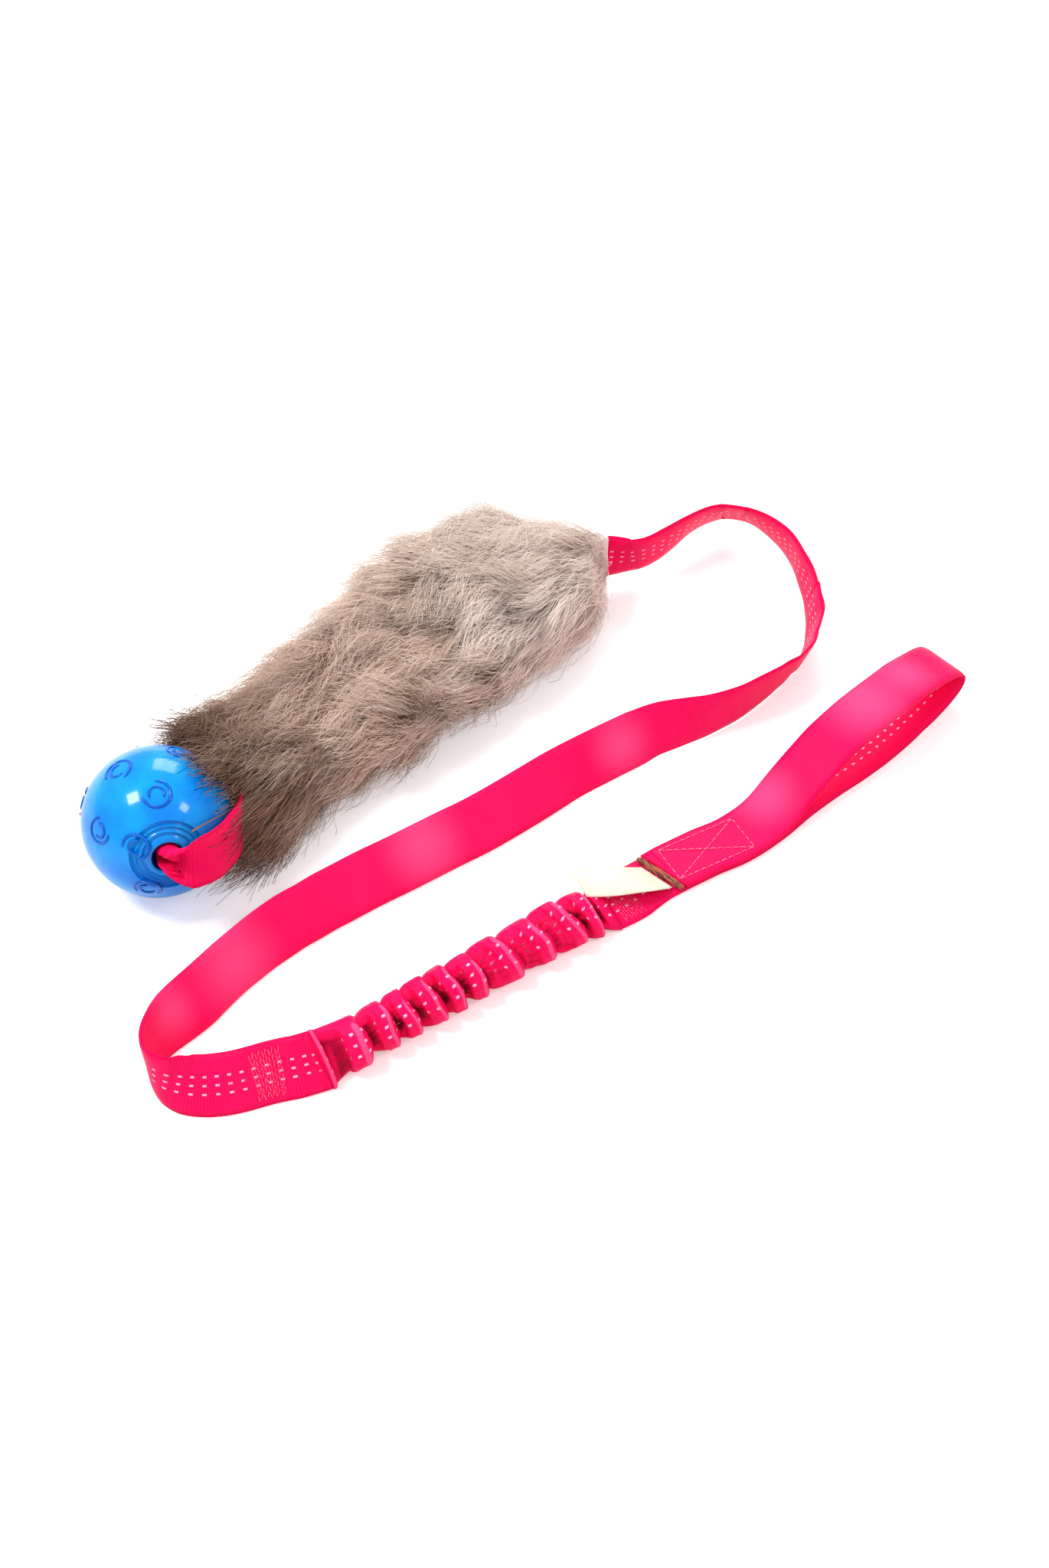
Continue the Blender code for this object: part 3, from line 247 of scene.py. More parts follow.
class Finish(Nodes):
    """A material with its Principled shader, written as formulas."""

    def __init__(self, name, colour, roughness, **sockets):
        self.material = bpy.data.materials.new(name)
        self.material.use_nodes = True
        self.tree = self.material.node_tree
        self.shader = self.tree.nodes["Principled BSDF"]
        self.set("Base Color", colour)
        self.set("Roughness", roughness)
        for key, value in sockets.items():
            self.set(key.replace("_", " "), value)

    def set(self, socket, value):
        self.link(self.shader.inputs[socket], value)

    def mix(self, factor, low, high):
        return self.node("ShaderNodeMix", {"data_type": "RGBA"}, {0: factor, 6: low, 7: high}, 2)

    def tape(self):
        """Across and along the tape, in metres."""
        uv = self.node("ShaderNodeUVMap", {"uv_map": "tape"})
        across, along, unused = self.axes(uv)
        return uv, across, along

    def attribute(self, name, output=0):
        return self.node("ShaderNodeAttribute", {"attribute_name": name}, output=output)

    def place(self):
        return self.node("ShaderNodeTexCoord", output="Object")

    def noise(self, at, scale, detail=3.0, roughness=0.5):
        return self.node("ShaderNodeTexNoise", None,
                         {"Vector": at, "Scale": scale, "Detail": detail, "Roughness": roughness})

    def scaled(self, at, scale):
        return self.vector("MULTIPLY", at, scale)

    def bump(self, height, distance, strength=1.0):
        inputs = {"Height": height, "Distance": distance, "Strength": strength}
        self.set("Normal", self.node("ShaderNodeBump", None, inputs))


def grained(name, colour, roughness, grain, low, high, depth, strength=0.6, stretch=None):
    """A finish whose colour and bump come from one noise, with grain as scale and detail."""
    finish = Finish(name, colour, roughness)
    place = finish.scaled(finish.place(), stretch) if stretch else finish.place()
    fine = finish.noise(place, *grain)
    finish.set("Base Color", finish.mix(fine, low, high))
    finish.bump(fine, depth, strength)
    return finish.material


# %% [markdown]
# ## Floor and light
# The toy lies on white in soft studio light. The floor is a real diffuse surface, so it keeps
# the contact shadows and the pink that the tape throws on it, and it is lifted to white for the
# camera alone. A large lamp high at the back gives the satin its long highlights and the ball
# its bright patch, and the pale world fills the rest.

# %% Floor, world and lamps
FLOOR_SIZE = 6.0
FLOOR_LEVEL = -0.0002
FLOOR_GLOW = 0.34
WORLD_STRENGTH = 0.66

floor_finish = Finish("studio_floor", (0.90, 0.90, 0.90), 0.9)
seen = floor_finish.node("ShaderNodeLightPath", output="Is Camera Ray")
dark, glow = (floor_finish.node("ShaderNodeEmission", None,
                                {"Color": (1.0, 1.0, 1.0), "Strength": strength})
              for strength in (0.0, FLOOR_GLOW))
glow_cut = floor_finish.node("ShaderNodeMixShader", None, {0: seen, 1: dark, 2: glow})
total = floor_finish.node("ShaderNodeAddShader", None,
                          {0: Wire(floor_finish, floor_finish.shader.outputs[0]), 1: glow_cut})
floor_finish.tree.links.new(total.socket, floor_finish.tree.nodes["Material Output"].inputs[0])

half_floor = FLOOR_SIZE / 2
floor_mesh = bpy.data.meshes.new("floor")
floor_mesh.from_pydata([(half_floor * x, half_floor * y, FLOOR_LEVEL)
                        for x, y in ((-1, -1), (1, -1), (1, 1), (-1, 1))], [], [(0, 1, 2, 3)])
floor_mesh.materials.append(floor_finish.material)
floor = bpy.data.objects.new("floor", floor_mesh)
bpy.context.scene.collection.objects.link(floor)

world = bpy.data.worlds.new("studio")
world.use_nodes = True
sky = world.node_tree.nodes["Background"].inputs
sky["Color"].default_value = (1.0, 1.0, 1.0, 1.0)
sky["Strength"].default_value = WORLD_STRENGTH
bpy.context.scene.world = world


def lamp(name, place, size, power):
    """A square soft lamp aimed at the middle of the floor."""
    light = bpy.data.lights.new(name, "AREA")
    light.shape = "SQUARE"
    light.size = size
    light.energy = power
    made = bpy.data.objects.new(name, light)
    bpy.context.scene.collection.objects.link(made)
    made.location = place
    made.rotation_euler = (-Vector(place)).to_track_quat("-Z", "Y").to_euler()


lamp("key", (-0.75, 0.35, 1.30), 0.40, 14.0)
lamp("front", (0.55, -0.75, 1.00), 0.30, 3.6)
lamp("back_fill", (0.75, 0.95, 0.95), 0.70, 12.0)
bpy.context.scene.view_settings.view_transform = "Standard"
print("world strength", WORLD_STRENGTH)

# %% [markdown]
# ## The webbing
# The tape is a flattened woven tube, 25 mm wide. One face is plain satin with fine ribs across
# it, and the other carries three rows of light tracer flecks. Both faces are written from the
# tape's own coordinates, metres across and metres along, so the weave never stretches, however
# the tape bends. Each face gets a finish of its own, because the real weave differs too. On the
# plain face a few paler patches are painted in as highlights, at places set on the toy.

# %% Webbing finishes
TAPE_WIDTH = 0.0250
TAPE_THICKNESS = 0.0018
RIB_PITCH = 0.00110
YARN_PITCH = 0.00105
FLECK_PITCH = 0.00505
FLECK_ROW = 0.0035
FLECK_LENGTH = 0.0015
FLECK_WIDTH = 0.0008
PINK = (0.960, 0.0010, 0.088)
PINK_DEEP = (0.80, 0.0006, 0.058)
PINK_LIGHT = (1.00, 0.020, 0.185)
FLECK = (0.78, 0.60, 0.86)
FLECK_SHADE = (0.20, 0.020, 0.070)
# Painted shade for the slots of the gathers, and a painted highlight for their crests.
SLOT_PAINTED_SHADE_RED = (0.42, 0.001, 0.020)
SLOT_PAINTED_SHADE_DARK = (0.10, 0.0005, 0.006)
CREST_PAINTED_HIGHLIGHT_PINK = (1.00, 0.13, 0.34)
# Painted highlights on the plain tape: their pink, and their places with the reach of each.
PAINTED_HIGHLIGHT_PINK = (1.00, 0.078, 0.255)
PAINTED_HIGHLIGHT_PLACES = (
    (-0.0650, -0.0285, 0.0105, 0.0240), (0.0376, -0.0313, 0.0115, 0.0190),
    (-0.1620, -0.0370, 0.0115, 0.0270), (-0.1960, -0.0456, 0.0137, 0.0160),
    (0.1300, -0.0850, 0.0285, 0.0270), (0.1570, -0.0800, 0.0260, 0.0200),
    (0.0730, -0.0885, 0.0070, 0.0200))


def webbing(name, flecked, crest=False):
    """Hot pink woven tape. Gathered tape also reads how near a place is to a pleat's crest, to
    paint shade in its slots and a highlight on its crests.
    """
    finish = Finish(name, PINK, 0.31, Specular_IOR_Level=0.04)
    uv, across, along = finish.tape()
    ribs = (along * (2 * math.pi / RIB_PITCH)).sin() * 0.5 + 0.5
    shift = (along * (math.pi / RIB_PITCH)).sin() * 0.6
    yarns = (across * (2 * math.pi / YARN_PITCH) + shift).sin()
    cloudy = finish.noise(finish.scaled(uv, (90.0, 900.0, 1.0)), 1.0, 3.0, 0.6)
    slow = finish.noise(finish.scaled(uv, (25.0, 60.0, 1.0)), 1.0, 2.0, 0.5)
    tone = finish.mix(ribs * 0.6 + cloudy * 0.4, PINK_DEEP, PINK_LIGHT)
    colour = finish.mix((slow - 0.5) * 0.6 + 0.50, PINK, tone)
    edge = (across.abs() - (TAPE_WIDTH / 2 - 0.0013)).ramp(0.0, 0.0008)
    colour = finish.mix(edge * 0.45, colour, PINK_DEEP)
    height = ribs * 0.7 + yarns * 0.30
    rise = finish.attribute("crest", 2) if crest else None
    if flecked:
        row = (across / FLECK_ROW + 0.5).floor()
        aside = (across - row * FLECK_ROW).abs()
        step = (along / FLECK_PITCH).fract() - 0.5
        run = step.abs() * FLECK_PITCH
        narrow = 1.0 - aside.ramp(FLECK_WIDTH / 2 - 0.00012, FLECK_WIDTH / 2 + 0.00012)
        short = 1.0 - run.ramp(FLECK_LENGTH / 2 - 0.0002, FLECK_LENGTH / 2 + 0.0002)
        uneven = finish.noise(finish.scaled(uv, (600.0, 500.0, 1.0)), 1.0, 1.0)
        fleck = narrow * short * (row.abs() < 1.5) * uneven.ramp(0.25, 0.45)
        # In the slots the flecks are painted darker, as shade.
        fleck_in_painted_shade = finish.mix(rise.ramp(0.2, 0.9), FLECK_SHADE, FLECK) if crest else FLECK
        colour = finish.mix(fleck * 0.85, colour, fleck_in_painted_shade)
        finish.set("Roughness", 0.31 - fleck * 0.06)
        height = height + fleck * 0.8
    # Painted highlight: paler pink patches at set places stand in for light caught by the satin.
    if not flecked and not crest:
        place = finish.place()
        for x, y, z, reach in PAINTED_HIGHLIGHT_PLACES:
            gap = finish.vector("DISTANCE", place, (x, y, z), output=1)
            colour = finish.mix((1.0 - gap.ramp(0.0, reach)) * 0.75, colour, PAINTED_HIGHLIGHT_PINK)
    # Painted shade darkens the slots of the pleats, and a painted highlight lightens their crests.
    if crest:
        colour = finish.mix((1.0 - rise.ramp(0.05, 0.55)) * 0.6, colour, SLOT_PAINTED_SHADE_RED)
        colour = finish.mix((1.0 - rise.ramp(0.02, 0.22)) * 0.85, colour, SLOT_PAINTED_SHADE_DARK)
        colour = finish.mix(rise.ramp(1.055, 1.095) * 0.55, colour, CREST_PAINTED_HIGHLIGHT_PINK)
    finish.set("Base Color", colour)
    finish.bump(height, 0.00011, 0.75)
    return finish.material


plain_tape = webbing("webbing_plain", flecked=False)
flecked_tape = webbing("webbing_flecked", flecked=True)


# %% [markdown]
# ### A run of tape
# Every strip is skinned over sections that follow its path. Each section first goes over the
# plain face and then back over the flecked one, and each corner is told where it lies across
# and along the tape, so that the finishes know where they are.

# %% Tape mesh
ACROSS = 10
EDGE_THINNING = 0.62


def tape_section(centre, across, through, half, bend=0.0):
    """Points and across-positions of one section: plain face first, flecked face after."""
    way = across.normalized()
    points, beside = [], []
    for side in (-1.0, 1.0):
        for k in range(ACROSS + 1)[::int(-side)]:
            share = k / ACROSS * 2 - 1
            place = across.length * share
            turn = place * bend
            flat, rise = (place, 0.0) if abs(bend) < 1.0 else (math.sin(turn) / bend,
                                                             (1 - math.cos(turn)) / bend)
            normal = through * math.cos(turn) - way * math.sin(turn)
            thick = half * ((1 - abs(share) ** 8) * EDGE_THINNING + 1 - EDGE_THINNING)
            points.append(centre + way * flat + through * rise + normal * (side * thick))
            beside.append(place)
    return points, beside


def woven_tube(name, rings, place, flecked_at, finishes):
    """Skins rings, tells each corner its place on the tape, and gives each face its finish."""
    count, last = len(rings[0]), len(rings) - 1
    faces, corners, sides = [], [], []
    for i in range(last):
        for k in range(count):
            around = [(i, k), (i, (k + 1) % count), (i + 1, (k + 1) % count), (i + 1, k)]
            faces.append(tuple(ring * count + at for ring, at in around))
            corners += [place(*at) for at in around]
            sides.append(1 if flecked_at(k) else 0)
    for ring, order in ((0, -1), (last, 1)):
        ids = range(count)[::order]
        faces.append(tuple(ring * count + k for k in ids))
        corners += [place(ring, k) for k in ids]
        sides.append(0)
    mesh = bpy.data.meshes.new(name)
    mesh.from_pydata([tuple(point) for ring in rings for point in ring], [], faces)
    layer = mesh.uv_layers.new(name="tape")
    layer.data.foreach_set("uv", [v for corner in corners for v in corner])
    for finish in finishes:
        mesh.materials.append(finish)
    mesh.polygons.foreach_set("material_index", sides)
    return mesh


def tape_mesh(name, rows, flecked=flecked_tape, start=0.0):
    """A run of tape: rows of middle, half-width vector, half-thickness and bend."""
    rings, beside, lengths = [], [], [start]
    path = [row[0] for row in rows]
    for i, (centre, across, half, bend) in enumerate(rows):
        ahead = heading_of(path, i)
        points, places = tape_section(centre, across, ahead.cross(across).normalized(), half, bend)
        rings.append(points)
        beside.append(places)
        if i:
            lengths.append(lengths[-1] + (centre - path[i - 1]).length)
    mesh = woven_tube(name, rings, lambda i, k: (beside[i][k], lengths[i]),
                      lambda k: ACROSS < k < 2 * ACROSS + 1, [plain_tape, flecked])
    return outward(mesh), lengths[-1]


# %% [markdown]
# ## The loose lead
# From the fur's neck the tape stands on its edge, arches out to the right, runs back across the
# picture leaning away from the camera, turns in a tight bend at the far left and comes back to
# the bungee. Each station says where its lower edge lies and how far it leans.

# %% Lead
HOME = Vector((-0.00079, -0.00077, 0.0))
NECK = Vector((0.1005, 0.0648, 0.0187)) + HOME
NECK_TURN = math.radians(-16.0)
BUNGEE_START = Vector((-0.1580, -0.0962, 0.0100)) + HOME
START_PITCH = math.radians(47.0)
SEAM_GAP = 0.0004
END_RISE = 0.0099
LEAD_ROUTE = (
    (0.112, 0.0615, 0.006, 12.0), (0.1185, 0.0585, 0.007, 13.0), (0.1275, 0.0579, 0.008, 12.0),
    (0.1375, 0.0595, 0.009, 15.5), (0.1485, 0.0621, 0.01, 23.0), (0.1585, 0.0625, 0.0105, 29.0),
    (0.1665, 0.0605, 0.011, 34.0), (0.1715, 0.0555, 0.012, 34.0), (0.1765, 0.0495, 0.011, 33.0),
    (0.1781, 0.0405, 0.0105, 27.0), (0.1775, 0.0275, 0.01, 17.0), (0.1745, 0.0155, 0.009, 7.0),
    (0.1695, 0.0041, 0.0073, 0.0), (0.1665, -0.0025, 0.0057, -4.0), (0.1635, -0.0075, 0.004, -8.0),
    (0.1595, -0.0131, 0.0031, -10.0), (0.155, -0.0181, 0.0023, -15.0),
    (0.1502, -0.0229, 0.0015, -16.0), (0.1425, -0.0285, 0.0006, -17.0),
    (0.1375, -0.0315, 0.0006, -19.0), (0.1325, -0.0325, 0.0006, -21.0),
    (0.127, -0.0345, 0.0006, -20.0), (0.121, -0.0362, 0.0006, -16.0),
    (0.1155, -0.0375, 0.0006, -14.0), (0.1045, -0.0395, 0.0006, -9.0),
    (0.0955, -0.0405, 0.0006, -6.0), (0.0865, -0.0405, 0.0006, -2.0),
    (0.0785, -0.0402, 0.0006, 3.0), (0.0705, -0.0392, 0.0006, 10.0),
    (0.0625, -0.0382, 0.0006, 18.0), (0.0545, -0.0372, 0.0006, 25.0),
    (0.0455, -0.0377, 0.0006, 35.0), (0.0295, -0.0373, 0.0006, 38.0),
    (0.0125, -0.0371, 0.0006, 40.0), (-0.0045, -0.0385, 0.0006, 51.0),
    (-0.0225, -0.0396, 0.0006, 54.0), (-0.0385, -0.04, 0.0006, 53.5),
    (-0.0535, -0.0394, 0.0006, 53.0), (-0.0765, -0.0388, 0.0006, 53.0),
    (-0.0915, -0.0381, 0.0006, 52.5), (-0.1065, -0.038, 0.0006, 51.0),
    (-0.1145, -0.0379, 0.0006, 47.0), (-0.1215, -0.0382, 0.0006, 44.0),
    (-0.1295, -0.0384, 0.0006, 44.5), (-0.1375, -0.0393, 0.0006, 44.0),
    (-0.1455, -0.0403, 0.0006, 40.0), (-0.1535, -0.0419, 0.0006, 38.0),
    (-0.1615, -0.0437, 0.0006, 37.0), (-0.1705, -0.0465, 0.0006, 38.0),
    (-0.1805, -0.05, 0.0006, 42.0), (-0.1885, -0.0517, 0.0006, 39.0),
    (-0.1955, -0.0527, 0.0006, 32.0), (-0.2015, -0.0538, 0.0006, 23.0),
    (-0.2085, -0.056, 0.0006, 13.0), (-0.2135, -0.0595, 0.0006, 5.0),
    (-0.2159, -0.0645, 0.0006, -3.0), (-0.2163, -0.0712, 0.0006, -15.0),
    (-0.2153, -0.0755, 0.0006, -26.0), (-0.2131, -0.0801, 0.0006, -34.0),
    (-0.2095, -0.0842, 0.0006, -39.0), (-0.2045, -0.0882, 0.0006, -43.0),
    (-0.1981, -0.0917, 0.0006, -44.0), (-0.1921, -0.0941, 0.0006, -43.0),
    (-0.1861, -0.0959, 0.0006, -42.0), (-0.18, -0.0977, 0.0006, -43.0),
    (-0.1745, -0.0998, 0.0006, -46.0), (-0.1692, -0.1018, 0.0006, -44.5))


def level(turn):
    """The way along the floor at an angle."""
    return Vector((math.cos(turn), math.sin(turn), 0.0))


def lead_rows(steps):
    """The lead as rows for tape_mesh, from the neck to the bungee."""
    half = TAPE_WIDTH / 2
    heading = level(NECK_TURN)
    first = NECK + heading * SEAM_GAP - upright(half) - HOME
    across = Vector((0, math.cos(START_PITCH), math.sin(START_PITCH)))
    end = Vector((BUNGEE_START.x - SEAM_GAP, BUNGEE_START.y, END_RISE)) - across * half - HOME
    end_lean = math.degrees(START_PITCH) - 90.0
    fine = smooth_rows([(*first, 0.0), *LEAD_ROUTE, (*end, end_lean)], steps)
    rows = []
    for i, (x, y, z, lean) in enumerate(fine):
        ahead = heading_of(fine, i)
        if i == 0:
            ahead = heading
        if i == len(fine) - 1:
            ahead = Vector((1, 0, 0))
        right = Vector((ahead.y, -ahead.x, 0)).normalized()
        up = upright(math.cos(math.radians(lean))) + right * math.sin(math.radians(lean))
        way = (up - ahead * up.dot(ahead)).normalized() * half
        rows.append((Vector((x, y, z)) + HOME + way, way, TAPE_THICKNESS / 2, 0.0))
    return rows


lead = lead_rows(6)
lead_mesh, LEAD_LENGTH = tape_mesh("loose_lead", lead)
loose_lead = put("loose_lead", lead_mesh, None, "lead", ["lead_webbing"])
print("lead is", round(LEAD_LENGTH, 4), "m long,", len(lead_mesh.polygons), "faces")

# %% [markdown]
# ## The grip
# The grip is the same tape. It leaves the bungee as a narrow tail, widens, runs along the floor,
# turns over in an open loop and comes back on top of itself, where it is sewn down. The run
# below is one strip that goes the whole way, so the two layers and the loop can't come apart.

# %% Grip path
TAIL_LENGTH = 0.0284
TAIL_WIDTH = 0.0218
GRIP_LENGTH = 0.1781
GRIP_HEIGHT = 0.0280
GRIP_SWEEP = 0.0200
BUNGEE_LENGTH = 0.1400
END_PITCH = math.radians(17.0)
SEAT_GAP = 0.0003
FLOOR_CLEARANCE = 0.00015
SCORCH_LENGTH = 0.0036
CUT_SLANT = math.radians(13.5)
GRIP_X = BUNGEE_START.x + BUNGEE_LENGTH + TAIL_LENGTH
GRIP_Y = BUNGEE_START.y
GROUND = FLOOR_CLEARANCE + TAPE_THICKNESS / 2
LAP = GROUND + TAPE_THICKNESS + SEAT_GAP
LOOP_START, LAP_START = 0.800, 0.300
LOOP_SHARES = (
    (0.870, 0.055), (0.925, 0.100), (0.965, 0.190), (0.990, 0.340), (0.988, 0.500),
    (0.958, 0.635), (0.905, 0.760), (0.840, 0.885), (0.770, 0.965), (0.695, 1.000),
    (0.620, 0.960), (0.545, 0.810), (0.485, 0.610), (0.430, 0.420), (0.385, 0.270),
    (0.345, 0.170))
SWEEP_SHARES = (
    (-0.17, 0.12), (0.00, 0.16), (0.14, 0.09), (0.22, 0.00), (0.32, 0.06), (0.42, 0.22),
    (0.52, 0.32), (0.62, 0.38), (0.72, 0.50), (0.82, 0.70), (1.00, 1.02))


def share_at(table, share, column=1):
    """Reads a table of shares at a place along it, along a smooth curve."""
    last = len(table) - 1
    i = 0
    while i < last - 1 and table[i + 1][0] < share:
        i += 1
    near = [table[min(max(k, 0), last)] for k in (i - 1, i, i + 1, i + 2)]
    t = min(max((share - near[1][0]) / (near[2][0] - near[1][0]), 0.0), 1.0)
    return curve_at(t, *(row[column] for row in near))


def grip_side(share):
    """Middle of the grip in plan at a share of its length, and the way across."""
    def sweep(part):
        return GRIP_Y + share_at(SWEEP_SHARES, part) * GRIP_SWEEP

    slope = (sweep(share + 0.02) - sweep(share - 0.02)) / (GRIP_LENGTH * 0.04)
    return (Vector((GRIP_X + GRIP_LENGTH * share, sweep(share), 0.0)),
            Vector((-slope, 1.0, 0.0)).normalized())


def bungee_axes(share):
    """The ways across and through the gathered tape, which leans less towards the grip."""
    pitch = START_PITCH + (END_PITCH - START_PITCH) * share
    return (Vector((0, math.cos(pitch), math.sin(pitch))),
            Vector((0, -math.sin(pitch), math.cos(pitch))))


def end_height(share, width):
    """How high the middle of the leaning tape lies over the floor at an end of the bungee."""
    across, through = bungee_axes(share)
    return (across.z * width + through.z * TAPE_THICKNESS) / 2 + FLOOR_CLEARANCE


def tail_row(t):
    """The tail between the bungee (t = 0) and the sewn lap (t = 1)."""
    eased = t * t * (3 - 2 * t)
    middle, across = grip_side(-(TAIL_LENGTH - SEAM_GAP) / GRIP_LENGTH * (1 - t))
    pitch = END_PITCH * (1 - eased)
    middle = Vector((middle.x, GRIP_Y, 0.0)).lerp(middle, eased)
    across = Vector((0, 1, 0)).lerp(across, eased).normalized()
    start = end_height(1.0, TAIL_WIDTH)
    middle.z = start + (GROUND - start) * eased
    width = TAIL_WIDTH + (TAPE_WIDTH - TAIL_WIDTH) * min(t * 2, 1.0)
    way = across * math.cos(pitch) + upright(math.sin(pitch))
    return middle, way * width / 2, TAPE_THICKNESS / 2, 0.0


def grip_rows():
    """Tail, run, loop and lap of the grip as rows for tape_mesh."""
    half = TAPE_WIDTH / 2
    rows = [tail_row(k / 24) for k in range(24)]

    def add(share, height):
        middle, across = grip_side(share)
        middle.z = height
        rows.append((middle, across * half, TAPE_THICKNESS / 2, 0.0))

    for k in range(41):
        add(LOOP_START * k / 40, GROUND)
    loop = smooth_rows([(LOOP_START, GROUND / GRIP_HEIGHT), *LOOP_SHARES,
                        (LAP_START, LAP / GRIP_HEIGHT)], 5)
    for share, high in loop[1:-1]:
        add(share, max(high * GRIP_HEIGHT, GROUND))
    cut_share = SCORCH_LENGTH / GRIP_LENGTH
    for k in range(17):
        add(LAP_START + (cut_share - LAP_START) * k / 16, LAP)
    rows[-1] = (rows[-1][0], level(math.pi / 2 + CUT_SLANT) * half, TAPE_THICKNESS / 2, 0.0)
    return rows


# %% Grip webbing
grip = grip_rows()
grip_mesh, grip_run = tape_mesh("grip_webbing", grip)
put("grip_webbing", grip_mesh, None, "handle", ["handle_webbing"])
print("grip tape is", round(grip_run, 3), "m long,", len(grip_mesh.polygons), "faces")

# %% [markdown]
# ## Stitches by Geometry Nodes
# Sewing is one short thread many times over. The places of the stitches are worked out as
# points, each with the way that its thread runs and the way that its cloth faces. A node tree
# then bends one thread into a low bridge and sets it on every point, turned to both ways.

# %% Stitch tree
class Growth(Nodes):
    """A Geometry Nodes tree with named inputs, run once and turned into a plain mesh."""

    def __init__(self, name, **inputs):
        self.tree = bpy.data.node_groups.new(name, "GeometryNodeTree")
        make = self.tree.interface.new_socket
        make("Geometry", in_out="INPUT", socket_type="NodeSocketGeometry")
        kinds = {float: "NodeSocketFloat", int: "NodeSocketInt"}
        self.keys = {}
        for label, value in inputs.items():
            kind = kinds.get(type(value), "NodeSocketMaterial")
            made = make(label.replace("_", " "), in_out="INPUT", socket_type=kind)
            made.default_value = value
            self.keys[label] = made.identifier
        make("Geometry", in_out="OUTPUT", socket_type="NodeSocketGeometry")
        self.start = self.tree.nodes.new("NodeGroupInput")
        self.end = self.tree.nodes.new("NodeGroupOutput")
        self.geometry = Wire(self, self.start.outputs[0])

    def input(self, label):
        return Wire(self, self.start.outputs[label.replace("_", " ")])

    def named(self, name, kind="FLOAT_VECTOR"):
        made = self.tree.nodes.new("GeometryNodeInputNamedAttribute")
        made.data_type = kind
        made.inputs["Name"].default_value = name
        return Wire(self, made.outputs["Attribute"])

    def store(self, geometry, name, value, kind):
        return self.node("GeometryNodeStoreNamedAttribute", {"data_type": kind, "domain": "POINT"},
                         {"Geometry": geometry, "Name": name, "Value": value})

    def aligned(self, along, facing):
        """A rotation whose X follows one way and whose Z faces the other as far as it can."""
        first = self.node("FunctionNodeAlignRotationToVector", {"axis": "X"}, {"Vector": along})
        return self.node("FunctionNodeAlignRotationToVector", {"axis": "Z", "pivot_axis": "X"},
                         {"Rotation": first, "Vector": facing})

    def close(self, geometry):
        """Ends the tree in Realize Instances and Set Material."""
        real = self.node("GeometryNodeRealizeInstances", None, {0: geometry})
        painted = self.node("GeometryNodeSetMaterial", None,
                            {"Geometry": real, "Material": self.input("Finish")})
        self.tree.links.new(painted.socket, self.end.inputs[0])

    def run(self, name, mesh, **values):
        """Runs the tree on a mesh, and gives back the plain mesh that comes out."""
        seed = bpy.data.objects.new(name + "_base", mesh)
        bpy.context.scene.collection.objects.link(seed)
        modifier = seed.modifiers.new("grow", "NODES")
        modifier.node_group = self.tree
        for label, value in values.items():
            modifier[self.keys[label]] = value
        graph = bpy.context.evaluated_depsgraph_get()
        made = bpy.data.meshes.new_from_object(seed.evaluated_get(graph), depsgraph=graph)
        made.name = name
        bpy.data.objects.remove(seed, do_unlink=True)
        return made


stitch_tree = Growth("stitches", Stitch_Length=0.0023, Thread_Radius=0.0002, Rise=0.0003,
                     Finish=plain_tape)
long_half = stitch_tree.input("Stitch_Length") * 0.5
flat_end = stitch_tree.node("ShaderNodeCombineXYZ", None, {0: long_half})
peak = stitch_tree.node("ShaderNodeCombineXYZ", None, {2: stitch_tree.input("Rise") * 2.0})
bridge = stitch_tree.node("GeometryNodeCurveQuadraticBezier", None,
                          {"Resolution": 5, "Start": stitch_tree.times(flat_end, -1.0),
                           "Middle": peak, "End": flat_end})
thread_round = stitch_tree.node("GeometryNodeCurvePrimitiveCircle", None,
                                {"Resolution": 6, "Radius": stitch_tree.input("Thread_Radius")})
one_thread = stitch_tree.node("GeometryNodeCurveToMesh", None,
                              {"Curve": bridge, "Profile Curve": thread_round, "Fill Caps": True})
set_down = stitch_tree.node("GeometryNodeInstanceOnPoints", None,
                            {"Points": stitch_tree.geometry, "Instance": one_thread,
                             "Rotation": stitch_tree.aligned(stitch_tree.named("along"),
                                                             stitch_tree.named("facing"))})
stitch_tree.close(set_down)


def sew(name, stitches, finish, body, replaced=(), radius=0.0002, rise=0.0003):
    """Sets one thread at each (place, way along, way the cloth faces)."""
    mesh = bpy.data.meshes.new(name)
    mesh.from_pydata([tuple(place) for place, along, facing in stitches], [], [])
    for label, column in (("along", 1), ("facing", 2)):
        ways = mesh.attributes.new(label, "FLOAT_VECTOR", "POINT")
        ways.data.foreach_set("vector", [v for row in stitches for v in row[column]])
    made = stitch_tree.run(name, mesh, Thread_Radius=radius, Rise=rise, Finish=finish)
    forget(made, "along", "facing")
    print(name, "has", len(stitches), "stitches,", len(made.polygons), "faces")
    return put(name, made, None, body, replaced)


def thread_finish(name, colour, pale):
    finish = Finish(name, colour, 0.5, Sheen_Weight=0.3)
    grain = finish.noise(finish.place(), 1400.0, 2.0)
    finish.set("Base Color", finish.mix(grain.ramp(0.35, 0.7), colour, pale))
    finish.bump(grain, 0.00008, 0.8)
    return finish.material


pink_thread = thread_finish("pink_thread", (0.90, 0.045, 0.20), (0.95, 0.30, 0.45))
tack_thread = thread_finish("tack_thread", (0.88, 0.012, 0.13), (0.93, 0.16, 0.32))

# %% [markdown]
# ## Box stitch and bar tacks
# The lap of the grip is held by a box of stitches with a cross in it. Where tape and elastic
# are joined, at both ends of the bungee, close rows of stitches run to and fro across the tape.

# %% Sewing of the grip and the lead
BOX_START, BOX_LENGTH, BOX_INSET = 0.0070, 0.0370, 0.0035
STITCH_PITCH = 0.0031
TACK_JITTER, TACK_LEAN = 0.0004, 0.22
TACK_THREAD = {"radius": 0.00016, "rise": 0.00016}


